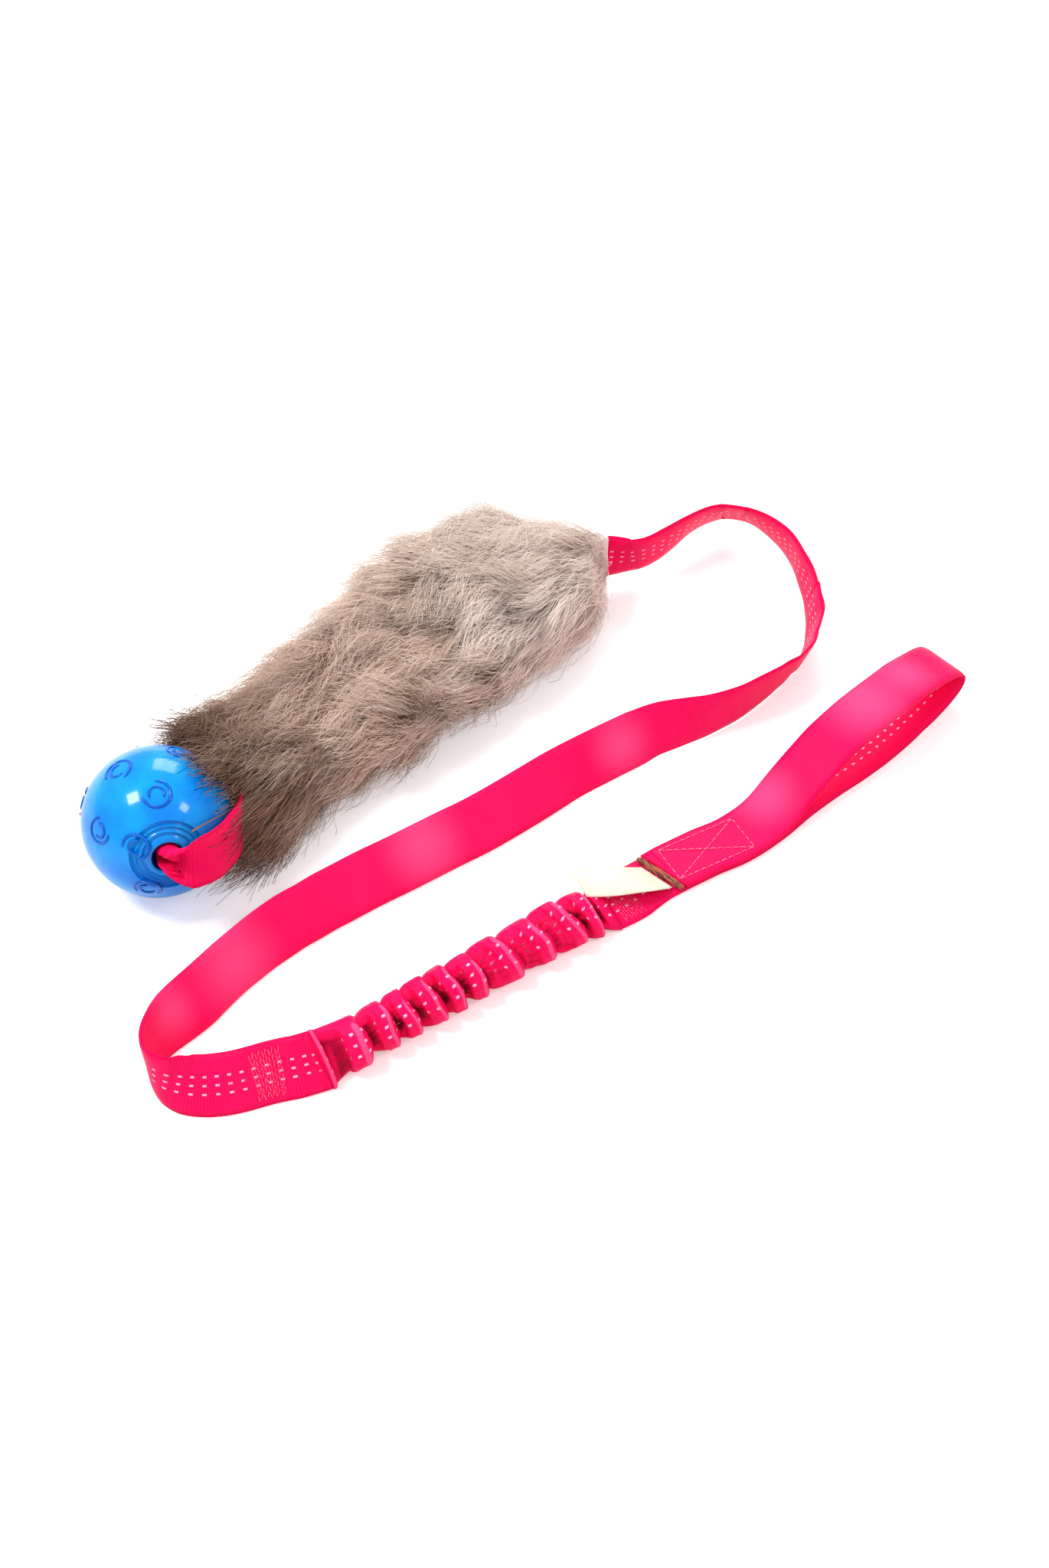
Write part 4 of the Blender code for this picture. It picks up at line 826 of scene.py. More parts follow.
def line_of_stitches(start, end, facing):
    """Stitches at an even pitch from a place to another."""
    run = end - start
    count = max(int(run.length / STITCH_PITCH), 1)
    return [(start + run * ((k + 0.5) / count), run.normalized(), facing) for k in range(count)]


def on_tape(rows, distance, side_share):
    """A place on the face of a tape, its way along, its way across and its facing."""
    left = distance
    for (here, across, half, bend), row in zip(rows, rows[1:]):
        step = row[0] - here
        if left <= step.length:
            t = left / step.length
            way = across.lerp(row[1], t)
            facing = step.cross(way).normalized()
            place = here + step * t + way * side_share + facing * half
            return place, step.normalized(), way, facing
        left -= step.length
    raise ValueError("past the end of the tape")


def bar_tack(rows, start, length, lines, spread=0.80):
    """Rows of stitches across a tape that lean a little to and fro."""
    tack = []
    for k in range(lines):
        at = start + length * k / (lines - 1)
        for m in range(7):
            side = (m + 0.5 + 0.3 * (k % 2)) / 7.3 * 2 - 1
            shake = noise.noise(Vector((k * 1.7, m * 2.3, start * 90))) * TACK_JITTER
            place, ahead, way, facing = on_tape(rows, at + shake, side * spread)
            lean = ahead * (TACK_LEAN if k % 2 else -TACK_LEAN)
            tack.append((place + facing * 0.00004, (way.normalized() + lean).normalized(), facing))
    return tack


box_middle, box_across = grip_side((BOX_START + BOX_LENGTH / 2) / GRIP_LENGTH)
box_along = Vector((box_across.y, -box_across.x, 0.0))
box_middle += upright(LAP + TAPE_THICKNESS / 2 + 0.00005)
corners = [box_middle + box_along * (u * BOX_LENGTH / 2)
           + box_across * (v * (TAPE_WIDTH / 2 - BOX_INSET))
           for u, v in ((-1, -1), (1, -1), (1, 1), (-1, 1))]
up = upright(1)
box = []
for a, b in ((0, 1), (1, 2), (2, 3), (3, 0), (0, 2), (1, 3)):
    box += line_of_stitches(corners[a], corners[b], up)
sew("box_stitch", box, pink_thread, "handle", ["handle_box_stitch"])
sew("tail_tack", bar_tack(grip, 0.0030, 0.0100, 9, 0.84), tack_thread, "handle",
    ["bar_tack_handle"], **TACK_THREAD)
sew("lead_tack", bar_tack(lead, LEAD_LENGTH - 0.0280, 0.0110, 10), tack_thread, "lead",
    ["bar_tack_lead"], **TACK_THREAD)

# %% [markdown]
# ## The scorched end
# The cut end of the tape was sealed with a hot blade, which leaves a dark brown, slightly
# swollen bead with grooves along the cut. It is a strip across the tape whose height comes
# from a few ridges and some noise, so that the light breaks on it as on melted nylon.

# %% Scorched end
SEAT = FLOOR_CLEARANCE + TAPE_THICKNESS + SEAT_GAP
CUT_ACROSS, CUT_BACK = level(math.pi / 2 + CUT_SLANT), level(math.pi + CUT_SLANT)
GROOVE_PITCH = 0.00125
GROOVE_HEIGHT = 0.00022
LUMP_HEIGHT = 0.00035


def cut_place(back, aside, height):
    """A place behind the cut end: back along the tape, aside across it."""
    middle = grip_side(SCORCH_LENGTH / GRIP_LENGTH)[0]
    return middle + CUT_BACK * back + CUT_ACROSS * aside + upright(height)


def scorch_rings():
    """Sections through the melted strip from one edge of the tape to the other."""
    rings = []
    for i in range(61):
        t = i / 60 * 2 - 1
        aside = t * (TAPE_WIDTH / 2 + 0.0002)
        end = math.sqrt(max(1 - abs(t) ** 10, 0.0))
        ring = []
        for k in range(22):
            angle = math.tau * k / 22
            u = math.copysign(abs(math.cos(angle)) ** 0.75, math.cos(angle))
            v = math.sin(angle)
            back = 0.0003 + (SCORCH_LENGTH - 0.0003) * (0.5 + 0.5 * u * end)
            lump = noise.noise(Vector((aside * 420, back * 900, 3.0))) * LUMP_HEIGHT
            swing = 0.8 * math.sin(aside * 300)
            ridge = GROOVE_HEIGHT * math.sin(back * math.tau / GROOVE_PITCH + swing)
            height = SEAT + 0.0010 + 0.00095 * v * (0.35 + 0.65 * end)
            if v > 0.1:
                height += (lump + ridge) * end
            wobble = noise.noise(Vector((aside * 300, v * 2.0, 9.0))) * 0.0003 * abs(u)
            ring.append(cut_place(back + wobble, aside, height))
        rings.append(ring)
    return rings


scorch = Finish("scorched_nylon", (0.16, 0.04, 0.02), 0.42, Specular_IOR_Level=0.25)
patches = scorch.noise(scorch.place(), 520.0, 4.0, 0.65)
streaks = scorch.noise(scorch.scaled(scorch.place(), (900.0, 160.0, 900.0)), 1.0, 3.0, 0.6)
brown = scorch.mix(streaks.ramp(0.38, 0.62), (0.100, 0.016, 0.010), (0.45, 0.100, 0.040))
scorch.set("Base Color", scorch.mix(patches.ramp(0.56, 0.72), brown, (0.60, 0.040, 0.050)))
scorch.set("Roughness", patches * 0.3 + 0.28)
scorch.bump(streaks + patches, 0.0003, 0.7)
put("scorched_edge", ring_mesh("scorched_edge", scorch_rings()), scorch.material, "handle",
    ["scorched_end"])

# %% [markdown]
# ## The label
# A strip of cream satin comes out from under the sealed end and lies over the tail with a light
# curl. It is cloth of one flat size. Its face is bare.

# %% Label
LABEL_LENGTH = 0.0295
LABEL_WIDTH = 0.0168
LABEL_HALF = 0.00016
LABEL_RISE = 0.0090
LABEL_SWERVE = 0.0188
LABEL_TURN = math.radians(24.0)
LABEL_CURL = 0.0009


def label_rings():
    """Sections across the label, from the sealed end to its free edge."""
    rings = []
    for i in range(37):
        t = i / 36
        rise = SEAT + 0.0004 + SEAT_GAP + LABEL_RISE * math.sin(min(t * 1.5, 1.0) * math.pi / 2)
        middle = cut_place(SCORCH_LENGTH + 0.0008 + LABEL_LENGTH * t, LABEL_SWERVE * t * t, rise)
        turn = LABEL_TURN * t
        way = CUT_ACROSS * math.cos(turn) - CUT_BACK * math.sin(turn)
        top = []
        for k in range(13):
            u = k / 12 * 2 - 1
            curl = LABEL_CURL * u * u * t + 0.00025 * math.sin(t * 7 + u * 2.2) * t
            top.append(middle + way * (LABEL_WIDTH / 2 * u) + upright(LABEL_HALF - curl))
        rings.append(top + [point - upright(2 * LABEL_HALF) for point in top[::-1]])
    return rings


satin = Finish("label_satin", (0.80, 0.74, 0.58), 0.45, Specular_IOR_Level=0.2)
weave = satin.noise(satin.place(), 2600.0, 2.0)
worn = satin.noise(satin.place(), 120.0, 3.0)
satin.set("Base Color", satin.mix(worn.ramp(0.35, 0.75), (0.83, 0.77, 0.63), (0.77, 0.70, 0.55)))
satin.bump(weave, 0.00006, 0.6)
label = put("label_ribbon", ring_mesh("label_ribbon", label_rings()), satin.material, "label",
            ["label_tag"])
label_seam = [(cut_place(SCORCH_LENGTH + 0.0032, side, FLOOR_CLEARANCE + 0.0040), CUT_ACROSS, up)
              for side in np.linspace(-0.0075, 0.0075, 7)]
cream_thread = thread_finish("cream_thread", (0.80, 0.75, 0.64), (0.93, 0.90, 0.82))
sew("label_seam", label_seam, cream_thread, "label", ["label_stitch"])

# %% [markdown]
# ## The gathered bungee
# This is the piece that gives the toy its name: the tube of tape is pushed together over an
# elastic, so it stands in deep uneven pleats. Each pleat rises slowly, crests, and folds over
# into a slot, like a saw tooth. The rings of the mesh follow that profile from pleat to pleat.
# Every pleat gets its own length, height, slant and creases, so that none repeats.

# %% Gathered sleeve
BUNGEE_RADIUS = 0.0104
BUNGEE_RISE = 0.0100
GROOVE_DEPTH = 0.0062
ELASTIC_INSET = 0.0190
PLEATS = (
    (0.148, 1.00), (0.235, 0.98), (0.304, 0.97), (0.386, 1.00), (0.455, 1.00), (0.536, 0.96),
    (0.648, 1.03), (0.763, 1.01), (0.865, 1.06), (0.945, 1.03), (1.000, 0.72))
SLANTS = (
    (0.000, 0.0000), (0.112, 0.0012), (0.213, 0.0017), (0.273, 0.0020), (0.360, 0.0034),
    (0.432, 0.0030), (0.496, 0.0028), (0.607, 0.0052), (0.721, 0.0054), (0.837, 0.0068),
    (0.915, 0.0030), (1.000, 0.0000))
TOOTH = (
    (0.000, 0.00, 0.16, 0.62), (0.040, 0.00, 0.18, 0.71), (0.090, 0.00, 0.21, 0.79),
    (0.150, 0.02, 0.25, 0.86), (0.200, 0.06, 0.29, 0.90), (0.240, 0.16, 0.33, 0.93),
    (0.270, 0.45, 0.36, 0.95), (0.300, 0.78, 0.39, 0.96), (0.340, 0.95, 0.42, 0.97),
    (0.400, 1.00, 0.48, 0.98), (0.440, 1.02, 0.60, 0.99), (0.475, 1.03, 0.84, 1.00),
    (0.520, 1.03, 1.00, 1.00), (0.600, 1.04, 1.02, 1.01), (0.700, 1.06, 1.05, 1.02),
    (0.790, 1.11, 1.12, 1.02), (0.850, 1.07, 1.08, 1.00), (0.890, 0.90, 0.92, 0.96),
    (0.920, 0.62, 0.66, 0.90), (0.945, 0.30, 0.38, 0.81), (0.970, 0.06, 0.22, 0.70))
FIRST_RIM = ((0.00, 0.95), (0.02, 1.20), (0.045, 1.25), (0.07, 1.10), (0.085, 0.70), (0.09, 0.35))
AROUND = 128
DENT_TURN = math.radians(105.0)
FOLD_HEIGHT = 0.22
PATCH_HEIGHT = 0.4
PUCKER_HEIGHT = 0.0008
CREASE_HEIGHT = 0.00045
CREST_LEAN = -0.0020
FLAT_HALF = 0.0020
slots = [0.0] + [row[0] for row in PLEATS]


def sleeve_frame(share):
    """Middle, both ways, end width and roundness of the gathered tube at a share."""
    across, through = bungee_axes(min(max(share, 0.0), 1.0))
    width = TAPE_WIDTH if share < 0.5 else TAIL_WIDTH
    low = end_height(0.0 if share < 0.5 else 1.0, width)
    near_end = min(max(min(share, 1 - share), 0.0) * BUNGEE_LENGTH / ELASTIC_INSET, 1.0)
    rise = low + (BUNGEE_RISE - low) * near_end
    middle = Vector((BUNGEE_START.x + BUNGEE_LENGTH * share, BUNGEE_START.y, rise))
    return middle, across, through, width, math.sin(near_end * math.pi / 2)


def dent_height(i, length, tau, slot, pocket, full, angle):
    """How far out a pleat stands there, 0 in its slot and 1 at its crest, its wave, its dent."""
    c, s = math.cos(angle), math.sin(angle)
    wave = noise.noise(Vector((c * 1.1, s * 1.1, i * 3.7)))
    dent_at = DENT_TURN + 0.9 * noise.noise(Vector((i * 1.9, 0.5, 7.0)))
    dent = min(max(1.3 * math.cos(angle - dent_at) + 0.12 + 0.40 * wave, 0.0), 1.0)
    dented = slot + (pocket - slot) * min(max((length - 0.075) / 0.030, 0.0), 1.0)
    if i == 0 and 0.1 < tau < 0.46:
        dented *= 0.3
    valley = max(1.0 - dented, 0.0)
    if length > 0.09:
        fold_at = 0.17 + 0.05 * math.sin(i * 2.4) + 0.05 * c
        fold = math.exp(-((tau - fold_at) / 0.065) ** 2)
        dented += FOLD_HEIGHT * fold * max(math.cos(angle - dent_at - 0.4), 0.0) * valley
    patch = noise.noise(Vector((c * 1.5 + i * 4.1, s * 1.5, 20.0 + i)))
    if i:
        dented += PATCH_HEIGHT * max(patch, 0.0) * valley * min(tau * 6.0, 1.0)
    return full + (dented - full) * dent * dent * (3 - 2 * dent), wave, dent_at


def sleeve_point(i, tau, slot, pocket, full, k):
    """One point of the sleeve: pleat, place on its tooth, its three heights, place round."""
    angle = math.tau * k / AROUND
    c, s = math.cos(angle), math.sin(angle)
    length = slots[i + 1] - slots[i]
    height, wave, dent_at = dent_height(i, length, tau, slot, pocket, full, angle)
    share = slots[i] + length * tau
    middle, across, through, width, round_share = sleeve_frame(share)
    crest = BUNGEE_RADIUS * PLEATS[i][1] * (1 + 0.05 * wave)
    depth = GROOVE_DEPTH * (0.82 + 0.18 * math.cos(angle - dent_at))
    low_part = max(1.0 - height, 0.0)
    pucker = noise.noise(Vector((c * 3.4, s * 3.4, i * 5.1 + tau * 1.2)))
    crease = noise.noise(Vector((c * 7.5 + tau * 2.0, s * 7.5, i * 7.3 + tau * 2.2)))
    radius = crest - depth * (1 - height) + PUCKER_HEIGHT * pucker * (0.35 + low_part)
    radius += CREASE_HEIGHT * crease * (0.3 + low_part)
    wide = width / 2 * (1 - round_share) + radius * round_share
    thick = FLAT_HALF * (1 - round_share) + radius * round_share
    wide += 0.0009 * (height - 0.5) * (1 - round_share)
    thick += 0.0019 * (height - 0.3) * (1 - round_share)
    point = middle + across * (c * wide) + through * (s * thick)
    slant = -share_at(SLANTS, share) / 2 * c + 0.0010 * wave * height
    lean = CREST_LEAN * max(height - 0.3, 0.0) * math.cos(angle - dent_at)
    point.x += (slant + lean) * round_share
    point.z = max(point.z, 0.00025 + 0.0002 * low_part)
    return point, height


# %% [markdown]
# ### The sleeve's mesh
# Tooth by tooth the rings are laid along the bungee. The tape's own length is measured over the
# pleats, so the flecks follow every fold, and each point keeps its height on the tooth for the
# finish, which paints shade into the slots and a highlight along the crests.

# %% Sleeve mesh
LENGTH_SHARE = 0.35

rings, heights = [], []
for i in range(len(PLEATS)):
    tooth = smooth_rows(TOOTH, 2)
    if i == 0:
        rim = [(tau, height, height, height) for tau, height in FIRST_RIM]
        tooth = smooth_rows(rim + [row for row in TOOTH if row[0] > 0.10], 2)
    if i == len(PLEATS) - 1:
        tooth = [row for row in tooth if row[0] < 0.7] + [(1.0, 1.0, 1.0, 1.0)]
    for row in tooth:
        made = [sleeve_point(i, *row, k) for k in range(AROUND)]
        rings.append([point for point, height in made])
        heights += [height for point, height in made]
lengths = [[0.0] * AROUND]
for before, ring in zip(rings, rings[1:]):
    lengths.append([lengths[-1][k] + (ring[k] - before[k]).length for k in range(AROUND)])
mean = [sum(row) / AROUND for row in lengths]


def tape_place(i, k):
    """Where a point lies across and along the tape: out over one face, back over the other."""
    turn = k / AROUND * 4
    beside = TAPE_WIDTH / 2 * (1 - turn if turn <= 2 else turn - 3)
    return beside, lengths[i][k] * LENGTH_SHARE + mean[i] * (1 - LENGTH_SHARE)


gathered = [webbing("gathered_plain", flecked=False, crest=True),
            webbing("gathered_flecked", flecked=True, crest=True)]
sleeve_mesh = woven_tube("gathered_sleeve", rings, tape_place, lambda k: k < AROUND / 2, gathered)
tone = sleeve_mesh.attributes.new("crest", "FLOAT", "POINT")
tone.data.foreach_set("value", heights)
sleeve = put("gathered_sleeve", outward(sleeve_mesh), None, None, ["bungee_sleeve"])
print("sleeve:", len(rings), "rings,", round(mean[-1], 3), "m of tape in", BUNGEE_LENGTH, "m")
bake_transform(sleeve)

# %% [markdown]
# ### Where the lead goes into the bungee
# The tape runs on from the lead into the gathers. A short length of it joins the two and is
# carried by neither body.

# %% The tape's turn
TURN_REACH = 0.0022
TURN_NARROWING, TURN_THINNING = 0.97, 0.8
centre, across, half, bend = lead[-1]
turn_rows = [(centre + Vector((TURN_REACH * (k / 8 - 1), 0.0, 0.0)), across * TURN_NARROWING,
              half * TURN_THINNING, bend) for k in range(17)]
turn_mesh = tape_mesh("lead_turn", turn_rows, start=LEAD_LENGTH - TURN_REACH)[0]
lead_turn = put("lead_turn", turn_mesh, None)
tuple(turn_rows[0][0])
tuple(turn_rows[-1][0])
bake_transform(lead_turn)
print("turn:", len(turn_mesh.polygons), "faces")

# %% [markdown]
# ## The elastic inside
# The elastic and its braided cover lie inside the sleeve. The solids stay, with a finish each,
# because they are round and plain in the real thing too.

# %% Elastic
BRAID_ALONG, BRAID_AROUND = 3600.0, 2400.0
rubber_strand = grained("elastic_strand", (0.78, 0.74, 0.64), 0.55, (1.0, 2.0),
                        (0.70, 0.65, 0.54), (0.86, 0.82, 0.72), 0.0001, 0.5,
                        stretch=(90.0, 1500.0, 1500.0))
braid = Finish("elastic_braid", (0.86, 0.85, 0.82), 0.7, Sheen_Weight=0.3)
along_x, unused, along_z = braid.axes(braid.place())
cross = (along_x * BRAID_ALONG + along_z * BRAID_AROUND).sin() \
    * (along_x * BRAID_ALONG - along_z * BRAID_AROUND).sin()
braid.set("Base Color", braid.mix(cross * 0.5 + 0.5, (0.70, 0.69, 0.66), (0.93, 0.92, 0.90)))
braid.bump(cross, 0.0002, 0.7)


def refinish(finish, *nodes):
    """Gives carried-over solids their finish."""
    for node in nodes:
        piece = bpy.data.objects[node]
        if not piece.material_slots:
            piece.data.materials.append(finish)
        for slot in piece.material_slots:
            slot.material = finish
        print(node, "is finished in", finish.name)


refinish(rubber_strand, "elastic_core")
refinish(braid.material, "elastic_cover")

# %% [markdown]
# ## The ball's loop
# The tape comes out of the fur, lies round the ball, bends into the bore, where it curls into a
# channel because the hole is narrower than the tape, and goes back behind the ball. The path is
# worked out from the ball's centre and its bore, so it stays on the rubber all the way.

# %% Loop of tape
BALL_RADIUS = 0.03175
BALL_BORE_RADIUS = 0.0068
FUR_LENGTH = 0.2170
FUR_HEADING = level(math.radians(185.3))
MOUTH = NECK + FUR_HEADING * FUR_LENGTH
LOOP_HEADING = level(math.radians(198.5))
MOUTH_TO_BALL = 0.01075
BALL = MOUTH + LOOP_HEADING * (BALL_RADIUS + MOUTH_TO_BALL)
BALL.z = BALL_RADIUS
BORE_TILT = math.radians(18.0)
BORE = level(math.radians(-109.0)) * math.cos(BORE_TILT) + upright(math.sin(BORE_TILT))
BEND_RADIUS = 0.0040
CURL_RADIUS = 0.0048
LOOP_STUB = 0.0040
STUB_SET_OFF = 0.00062
LOOP_GAP = 0.0016
CURLS = (0.30, 0.48, 0.68, 0.86, 0.97, 1.00)


def loop_path():
    """Middle of the loop's tape with its curl, from the mouth round to the mouth."""
    out = MOUTH - BALL
    across = BORE.cross(out).normalized()
    aside = across.cross(BORE)
    orbit = BALL_RADIUS + LOOP_GAP + TAPE_THICKNESS / 2
    ring = orbit - BEND_RADIUS
    reach = CURL_RADIUS + BEND_RADIUS
    fillet = math.asin(reach / ring)
    height = ring * math.cos(fillet)
    span = math.atan2(out.dot(aside), out.dot(BORE))
    leave = math.acos(min(orbit / (out.length - LOOP_STUB), 1.0))
    apart = Vector((-LOOP_HEADING.y, LOOP_HEADING.x, 0.0)) * (TAPE_THICKNESS + SEAT_GAP) / 2

    def spot(along, beside):
        return BALL + BORE * along + aside * beside

    def stub(sign):
        tip = MOUTH + LOOP_HEADING * STUB_SET_OFF + apart * sign
        return [(tip, 0.0), (tip + LOOP_HEADING * LOOP_STUB / 2, 0.0),
                (tip + LOOP_HEADING * LOOP_STUB + apart * sign * 0.80, 0.0)]

    def bend(sign):
        turned = []
        for k in range(6):
            angle = fillet - (fillet + math.pi / 2) * k / 5
            turned.append((spot((height + BEND_RADIUS * math.cos(angle)) * sign,
                                reach + BEND_RADIUS * math.sin(angle)), CURLS[k]))
        return turned

    front = 1.0 if apart.dot(BORE) > 0 else -1.0
    points = stub(front)
    first = span - leave * 0.92
    for k in range(10):
        angle = first + (fillet - first) * k / 10
        curl = max(0.0, 1.0 - (angle - fillet) / 0.60) * CURLS[0]
        points.append((spot(orbit * math.cos(angle), orbit * math.sin(angle)), curl))
    points += bend(1.0)
    points += [(spot(height * part, CURL_RADIUS), 1.0) for part in (0.6, 0.0, -0.6)]
    points += bend(-1.0)[::-1]
    last = stub(-front)[::-1]
    start, end = points[-1][0], last[0][0]
    for k in range(1, 5):
        point = start.lerp(end, k / 5)
        radial = point - BALL
        if radial.length < orbit:
            point = BALL + radial * (orbit / radial.length)
        points.append((point, CURLS[0] * (1 - k / 5)))
    return points + last, across


def loop_rows():
    """The loop as rows for tape_mesh. It stands upright at the mouth and turns to the bore."""
    points, across = loop_path()
    fine = smooth_rows([(*point, share) for point, share in points], 5)
    rows, last = [], len(fine) - 1
    for i, (x, y, z, share) in enumerate(fine):
        ahead = heading_of(fine, i)
        side = up.lerp(across, min(min(i, last - i) / 17.5, 1.0)).normalized()
        way = (side - ahead * side.dot(ahead)).normalized()
        bend = -min(max(share, 0.0), 1.0) / CURL_RADIUS
        rows.append((Vector((x, y, z)), way * TAPE_WIDTH / 2, TAPE_THICKNESS / 2, bend))
    return rows


loop_mesh, LOOP_LENGTH = tape_mesh("ball_strap", loop_rows(), flecked=plain_tape)
put("ball_strap", loop_mesh, None, "ball_carrier", ["ball_loop"])
print("loop is", round(LOOP_LENGTH, 3), "m long")

# %% [markdown]
# ## The ball
# A 63.5 mm ball of clear blue rubber with a bore right through it. Round each end of the bore the
# wall is stepped down in rings. The section is spun about the bore, finely enough that the
# outline stays round, and the raised motifs are low ribs laid on the sphere: broken rings in a
# loose scatter, a plain ornament of this toy's own.

# %% Ball wall
RING_RADIUS = 0.0155
RING_DEPTH = 0.0012
STEP_COUNT = 3
STEP_SHAPE = ((0.10, 0.55), (0.20, 1.00), (0.44, 1.067), (0.68, 1.00), (0.80, 0.70), (0.90, 0.50))
BALL_WALL = 0.0034


def ball_section():
    """Closed section of the wall as (radius, height): stepped recess, outside, recess, inside."""
    lip, ring = BALL_BORE_RADIUS, RING_RADIUS
    inner = BALL_RADIUS - BALL_WALL
    step = (ring - lip) / (STEP_COUNT + 1)

    def shell(radius):
        return math.sqrt(BALL_RADIUS ** 2 - radius ** 2)

    end = [(ring + 0.0003, shell(ring + 0.0003)), (ring, shell(ring) - 0.0001)]
    for k in range(STEP_COUNT):
        radius = ring - step * k
        end += [(radius - step * inwards, shell(radius) - RING_DEPTH * deep)
                for inwards, deep in STEP_SHAPE]
    rim = shell(lip) - RING_DEPTH * 0.5
    end += [(lip + step * 0.20, rim), (lip + step * 0.05, rim - RING_DEPTH * 0.15),
            (lip, rim - RING_DEPTH * 0.5)]
    section = end[::-1]
    low = math.asin(ring / BALL_RADIUS)
    for k in range(1, 64):
        angle = low + (math.pi - 2 * low) * k / 64
        section.append((BALL_RADIUS * math.sin(angle), BALL_RADIUS * math.cos(angle)))
    section += [(radius, -height) for radius, height in end]
    inner_low = math.asin(lip / inner)
    for k in range(25):
        angle = math.pi - inner_low - (math.pi - 2 * inner_low) * k / 24
        section.append((inner * math.sin(angle), inner * math.cos(angle)))
    return section


def spun(name, section, sides):
    """Spins a closed section about Z, joins it round, and turns its faces out."""
    turns = [level(math.tau * k / sides) for k in range(sides)]
    return ring_mesh(name, [[turn * radius + upright(height) for radius, height in section]
                            for turn in turns], closed=True)


ball_turn = BORE.to_track_quat("Z", "Y").to_matrix().to_4x4()
ball_mesh = spun("ball_rubber", ball_section(), 144)
ball_mesh.transform(Matrix.Translation(BALL) @ ball_turn)
print("ball wall:", len(ball_mesh.polygons), "faces")


# %% [markdown]
# ### Raised motifs
# Each motif is two arcs, a wide one and a smaller one turned the other way. An arc is a path of
# directions from the ball's centre, and a rib is skinned over it, thinner at both ends.

# %% Raised motifs
RIB_SECTION = ((-1.0, -0.5), (-0.92, 0.45), (-0.45, 0.95), (0.45, 0.95), (0.92, 0.45), (1.0, -0.5))
RIB_WIDTH, RIB_WIDTH_INSIDE, RIB_HEIGHT = 0.0014, 0.0013, 0.0006


def rib(bm, path, wide, high):
    """A low rounded rib over a path of directions, half sunk in the wall, closed at its ends."""
    rings, faces = [], []
    for i, out in enumerate(path):
        beside = out.cross(heading_of(path, i)).normalized()
        taper = min(min(i, len(path) - 1 - i) / 2.0 + 0.35, 1.0)
        rings.append([bm.verts.new(BALL + out * (BALL_RADIUS + high * v * taper)
                                   + beside * (wide / 2 * u * taper)) for u, v in RIB_SECTION])
    for a, b in zip(rings, rings[1:]):
        faces += [(a[k - 1], a[k], b[k], b[k - 1]) for k in range(len(RIB_SECTION))]
    for face in faces + [rings[0][::-1], rings[-1]]:
        bm.faces.new(face).material_index = 1


def arc_on_ball(direction, radius, start, sweep, count=26):
    """An arc round a direction from the ball's centre, as a path of directions."""
    out = Vector(direction).normalized()
    side = out.cross(Vector((0.31, 0.17, 0.93))).normalized()
    other = out.cross(side)
    path = []
    for k in range(count + 1):
        angle = start + sweep * k / count
        path.append((out + (side * math.cos(angle) + other * math.sin(angle))
                     * (radius / BALL_RADIUS)).normalized())
    return path


MOTIFS = (
    ((-0.101, -0.355, 0.930), 0.0048, 0.4), ((-0.62, -0.62, 0.48), 0.0046, 1.9),
    ((-0.30, 0.30, 0.90), 0.0050, 3.3), ((-0.86, -0.12, 0.50), 0.0044, 5.0),
    ((-0.60, -0.75, -0.20), 0.0046, 2.4), ((0.55, 0.20, 0.81), 0.0046, 0.9),
    ((-0.70, 0.66, 0.25), 0.0048, 4.2), ((0.20, 0.92, 0.35), 0.0046, 1.1),
    ((0.80, 0.50, -0.30), 0.0046, 2.9), ((0.86, -0.42, -0.28), 0.0044, 3.8),
    ((-0.10, 0.60, -0.79), 0.0048, 5.4), ((-0.80, 0.20, -0.56), 0.0046, 0.2),
    ((0.30, -0.30, -0.90), 0.0046, 4.6))
bm = bmesh.new()
bm.from_mesh(ball_mesh)
for direction, radius, start in MOTIFS:
    rib(bm, arc_on_ball(direction, radius * 1.2, start, 4.6), RIB_WIDTH, RIB_HEIGHT)
    rib(bm, arc_on_ball(direction, radius * 0.66, start + 2.4, 4.2, 18), RIB_WIDTH_INSIDE,
        RIB_HEIGHT)
bmesh.ops.recalc_face_normals(bm, faces=bm.faces)
bm.to_mesh(ball_mesh)
bm.free()
print("ball with motifs:", len(ball_mesh.polygons), "faces")

# %% [markdown]
# ## Blue rubber
# The rubber is glossy and lets some light through. The surface gets a clear coat over a soft
# base, light is scattered under it by the subsurface setting, and slow noise makes the blue
# uneven, as in a thick casting.

# %% Ball finish
def blue_rubber(name, low, high):
    """Glossy rubber that lets light through under its surface, unevenly blue."""
    rubber = Finish(name, low, 0.10, Coat_Weight=0.3, Coat_Roughness=0.04,
                    Transmission_Weight=0.10, IOR=1.42, Specular_IOR_Level=0.18,
                    Subsurface_Weight=0.35, Subsurface_Scale=0.004)
    cloud = rubber.noise(rubber.place(), 55.0, 3.0, 0.55)
    speck = rubber.noise(rubber.place(), 900.0, 2.0, 0.5)
    rubber.set("Base Color", rubber.mix(cloud.ramp(0.3, 0.75), low, high))
    rubber.set("Roughness", cloud * 0.12 + 0.08)
    rubber.bump(speck, 0.00006, 0.5)
    return rubber.material


ball_mesh.materials.append(blue_rubber("blue_rubber", (0.0, 0.25, 0.90), (0.0, 0.40, 1.00)))
ball_mesh.materials.append(blue_rubber("blue_ribs", (0.0, 0.10, 0.55), (0.0, 0.18, 0.72)))
put("ball_rubber", ball_mesh, None, "ball", ["ball_shell"])

# %% [markdown]
# ## The squeaker
# A dark cup with a small sound hole sits in the wall, and a pale reed lies inside it. Both are
# turned parts, so the solids stay and get a moulded plastic finish.

